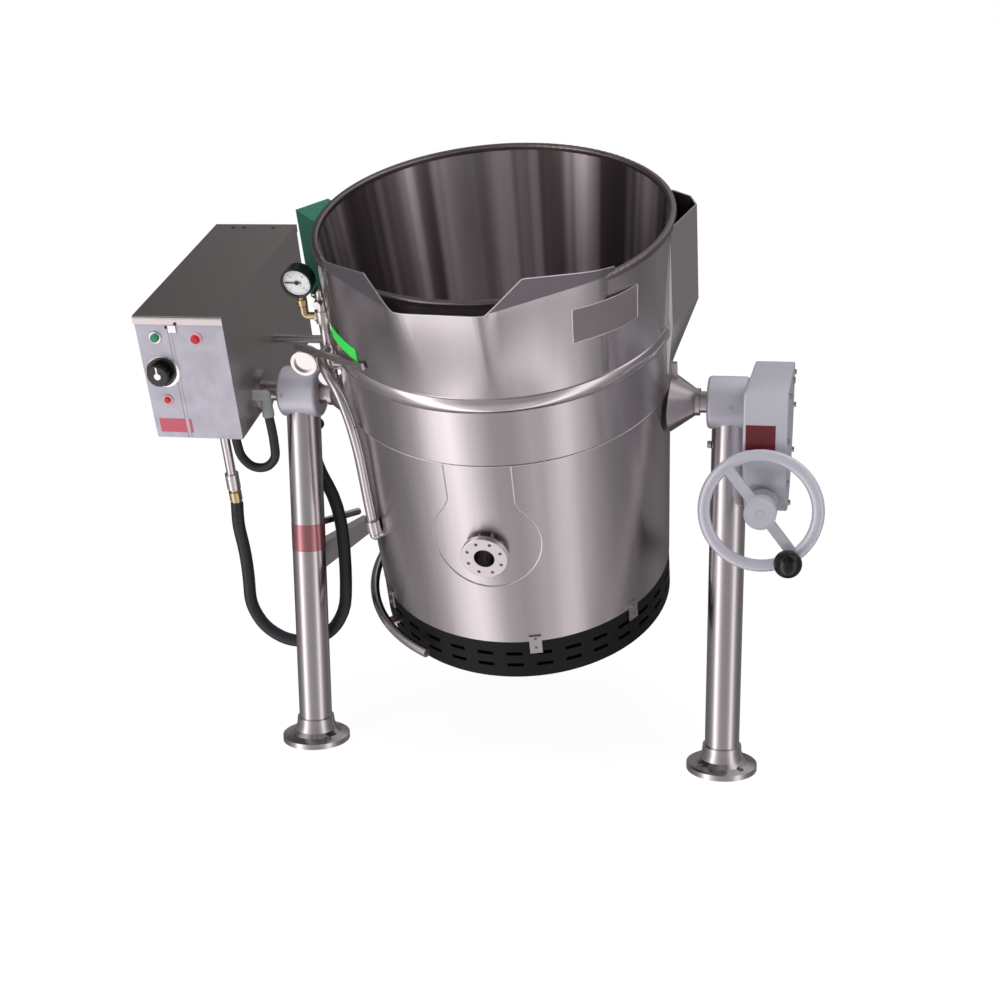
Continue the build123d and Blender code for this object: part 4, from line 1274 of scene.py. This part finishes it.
class KETTLE_OT_stand_details(bpy.types.Operator):
    """Add the tape, the bare plate, bolts and the cap of the handwheel"""
    bl_idname = "kettle.stand_details"
    bl_label = "Stand details"

    def execute(self, context):
        size = context.scene.kettle_finish
        up = Vector((0, 0, 1))
        front = Vector((0, -1, 0))
        right = Vector((1, 0, 0))
        turned("leg_tape", [(0.0366, 0), (0.0369, 0.0003), (0.0369, 0.0597), (0.0366, 0.06)],
               ground(-456, 0, 446), up, tape_red(size), "stand", closed=False, sides=64)
        points = []
        for k in range(9):
            z = -4 - 50 * k / 8
            y = -math.sqrt(GEAR_PLATE_RADIUS ** 2 - z * z)
            for x in (500, 556):
                points.append(ground(x, y, 795 + z))
        faces = [(2 * k, 2 * k + 1, 2 * k + 3, 2 * k + 2) for k in range(8)]
        add_mesh("gear_plate", points, faces, plate_red(size), "stand")
        steel = machined_steel(size)
        turned("leg_bolt", hex_head(0.0085, 0.008), ground(419.6, -4, 708), -right, steel, "stand",
               sides=6, closed=False)
        turned("cover_bolt", hex_head(0.0075, 0.006), ground(577.5, 40, 838), right, steel, "stand",
               sides=6, closed=False)
        hub = ground(533, -254, 628)
        disc("hub_cap", hub, front, 0.0272, 0.0012, casting_paint(size), "worm", round_off=0.0008)
        ring = []
        for k in range(24):
            a = math.radians(k * 15)
            ring.append(hub + Vector((math.cos(a), 0, math.sin(a))) * 0.0085 + front * 0.0012)
        tube("hub_ring", ring, 0.0009, casting_shade(size), "worm", sides=8, closed=True)
        return {"FINISHED"}


def casting_shade(size):
    """Shadowed groove in the housing paint."""
    return plain_finish("enamel_grey_shaded", "9C9BA6", 0.0, 0.5)


def hex_head(radius, tall):
    """Profile of a bolt head with a chamfer, turned with six sides."""
    return [(AXIS_GAP, 0), (radius, 0), (radius, tall * 0.85), (radius * 0.85, tall), (AXIS_GAP, tall)]


class KETTLE_PT_panel(bpy.types.Panel):
    """Shows the kettle's settings and a button for each step"""
    bl_idname = "KETTLE_PT_panel"
    bl_label = "Steam Jacketed Kettle"
    bl_space_type = "VIEW_3D"
    bl_region_type = "UI"
    bl_category = "Kettle"

    def draw(self, context):
        """The settings first, then a button for each step."""
        layout = self.layout
        for key in ("steel_colour", "steel_shade", "enamel_colour", "hose_radius", "conduit_radius"):
            layout.prop(context.scene.kettle_finish, key)
        for key in ("floor_size", "focal_share", "room_radius"):
            layout.prop(context.scene.kettle_stage, key)
        for step in STEPS:
            layout.operator(step.bl_idname)


STEPS = (
    KETTLE_OT_frame_finishes,
    KETTLE_OT_pour_lip,
    KETTLE_OT_gas_hose,
    KETTLE_OT_conduit,
    KETTLE_OT_gauge_face,
    KETTLE_OT_console_details,
    KETTLE_OT_vessel_details,
    KETTLE_OT_stand_details,
    KETTLE_OT_stage,
)
CLASSES = (KettleFinish, KettleStage, *STEPS, KETTLE_PT_panel)


def register():
    """Register the classes and hang the settings on the scene."""
    for made in CLASSES:
        bpy.utils.register_class(made)
    bpy.types.Scene.kettle_finish = bpy.props.PointerProperty(type=KettleFinish)
    bpy.types.Scene.kettle_stage = bpy.props.PointerProperty(type=KettleStage)


def unregister():
    """Take the settings and the classes away again."""
    del bpy.types.Scene.kettle_stage
    del bpy.types.Scene.kettle_finish
    for made in reversed(CLASSES):
        bpy.utils.unregister_class(made)


def main():
    """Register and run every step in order."""
    register()
    for step in STEPS:
        group, name = step.bl_idname.split(".")
        getattr(getattr(bpy.ops, group), name)()


if __name__ == "__main__":
    main()
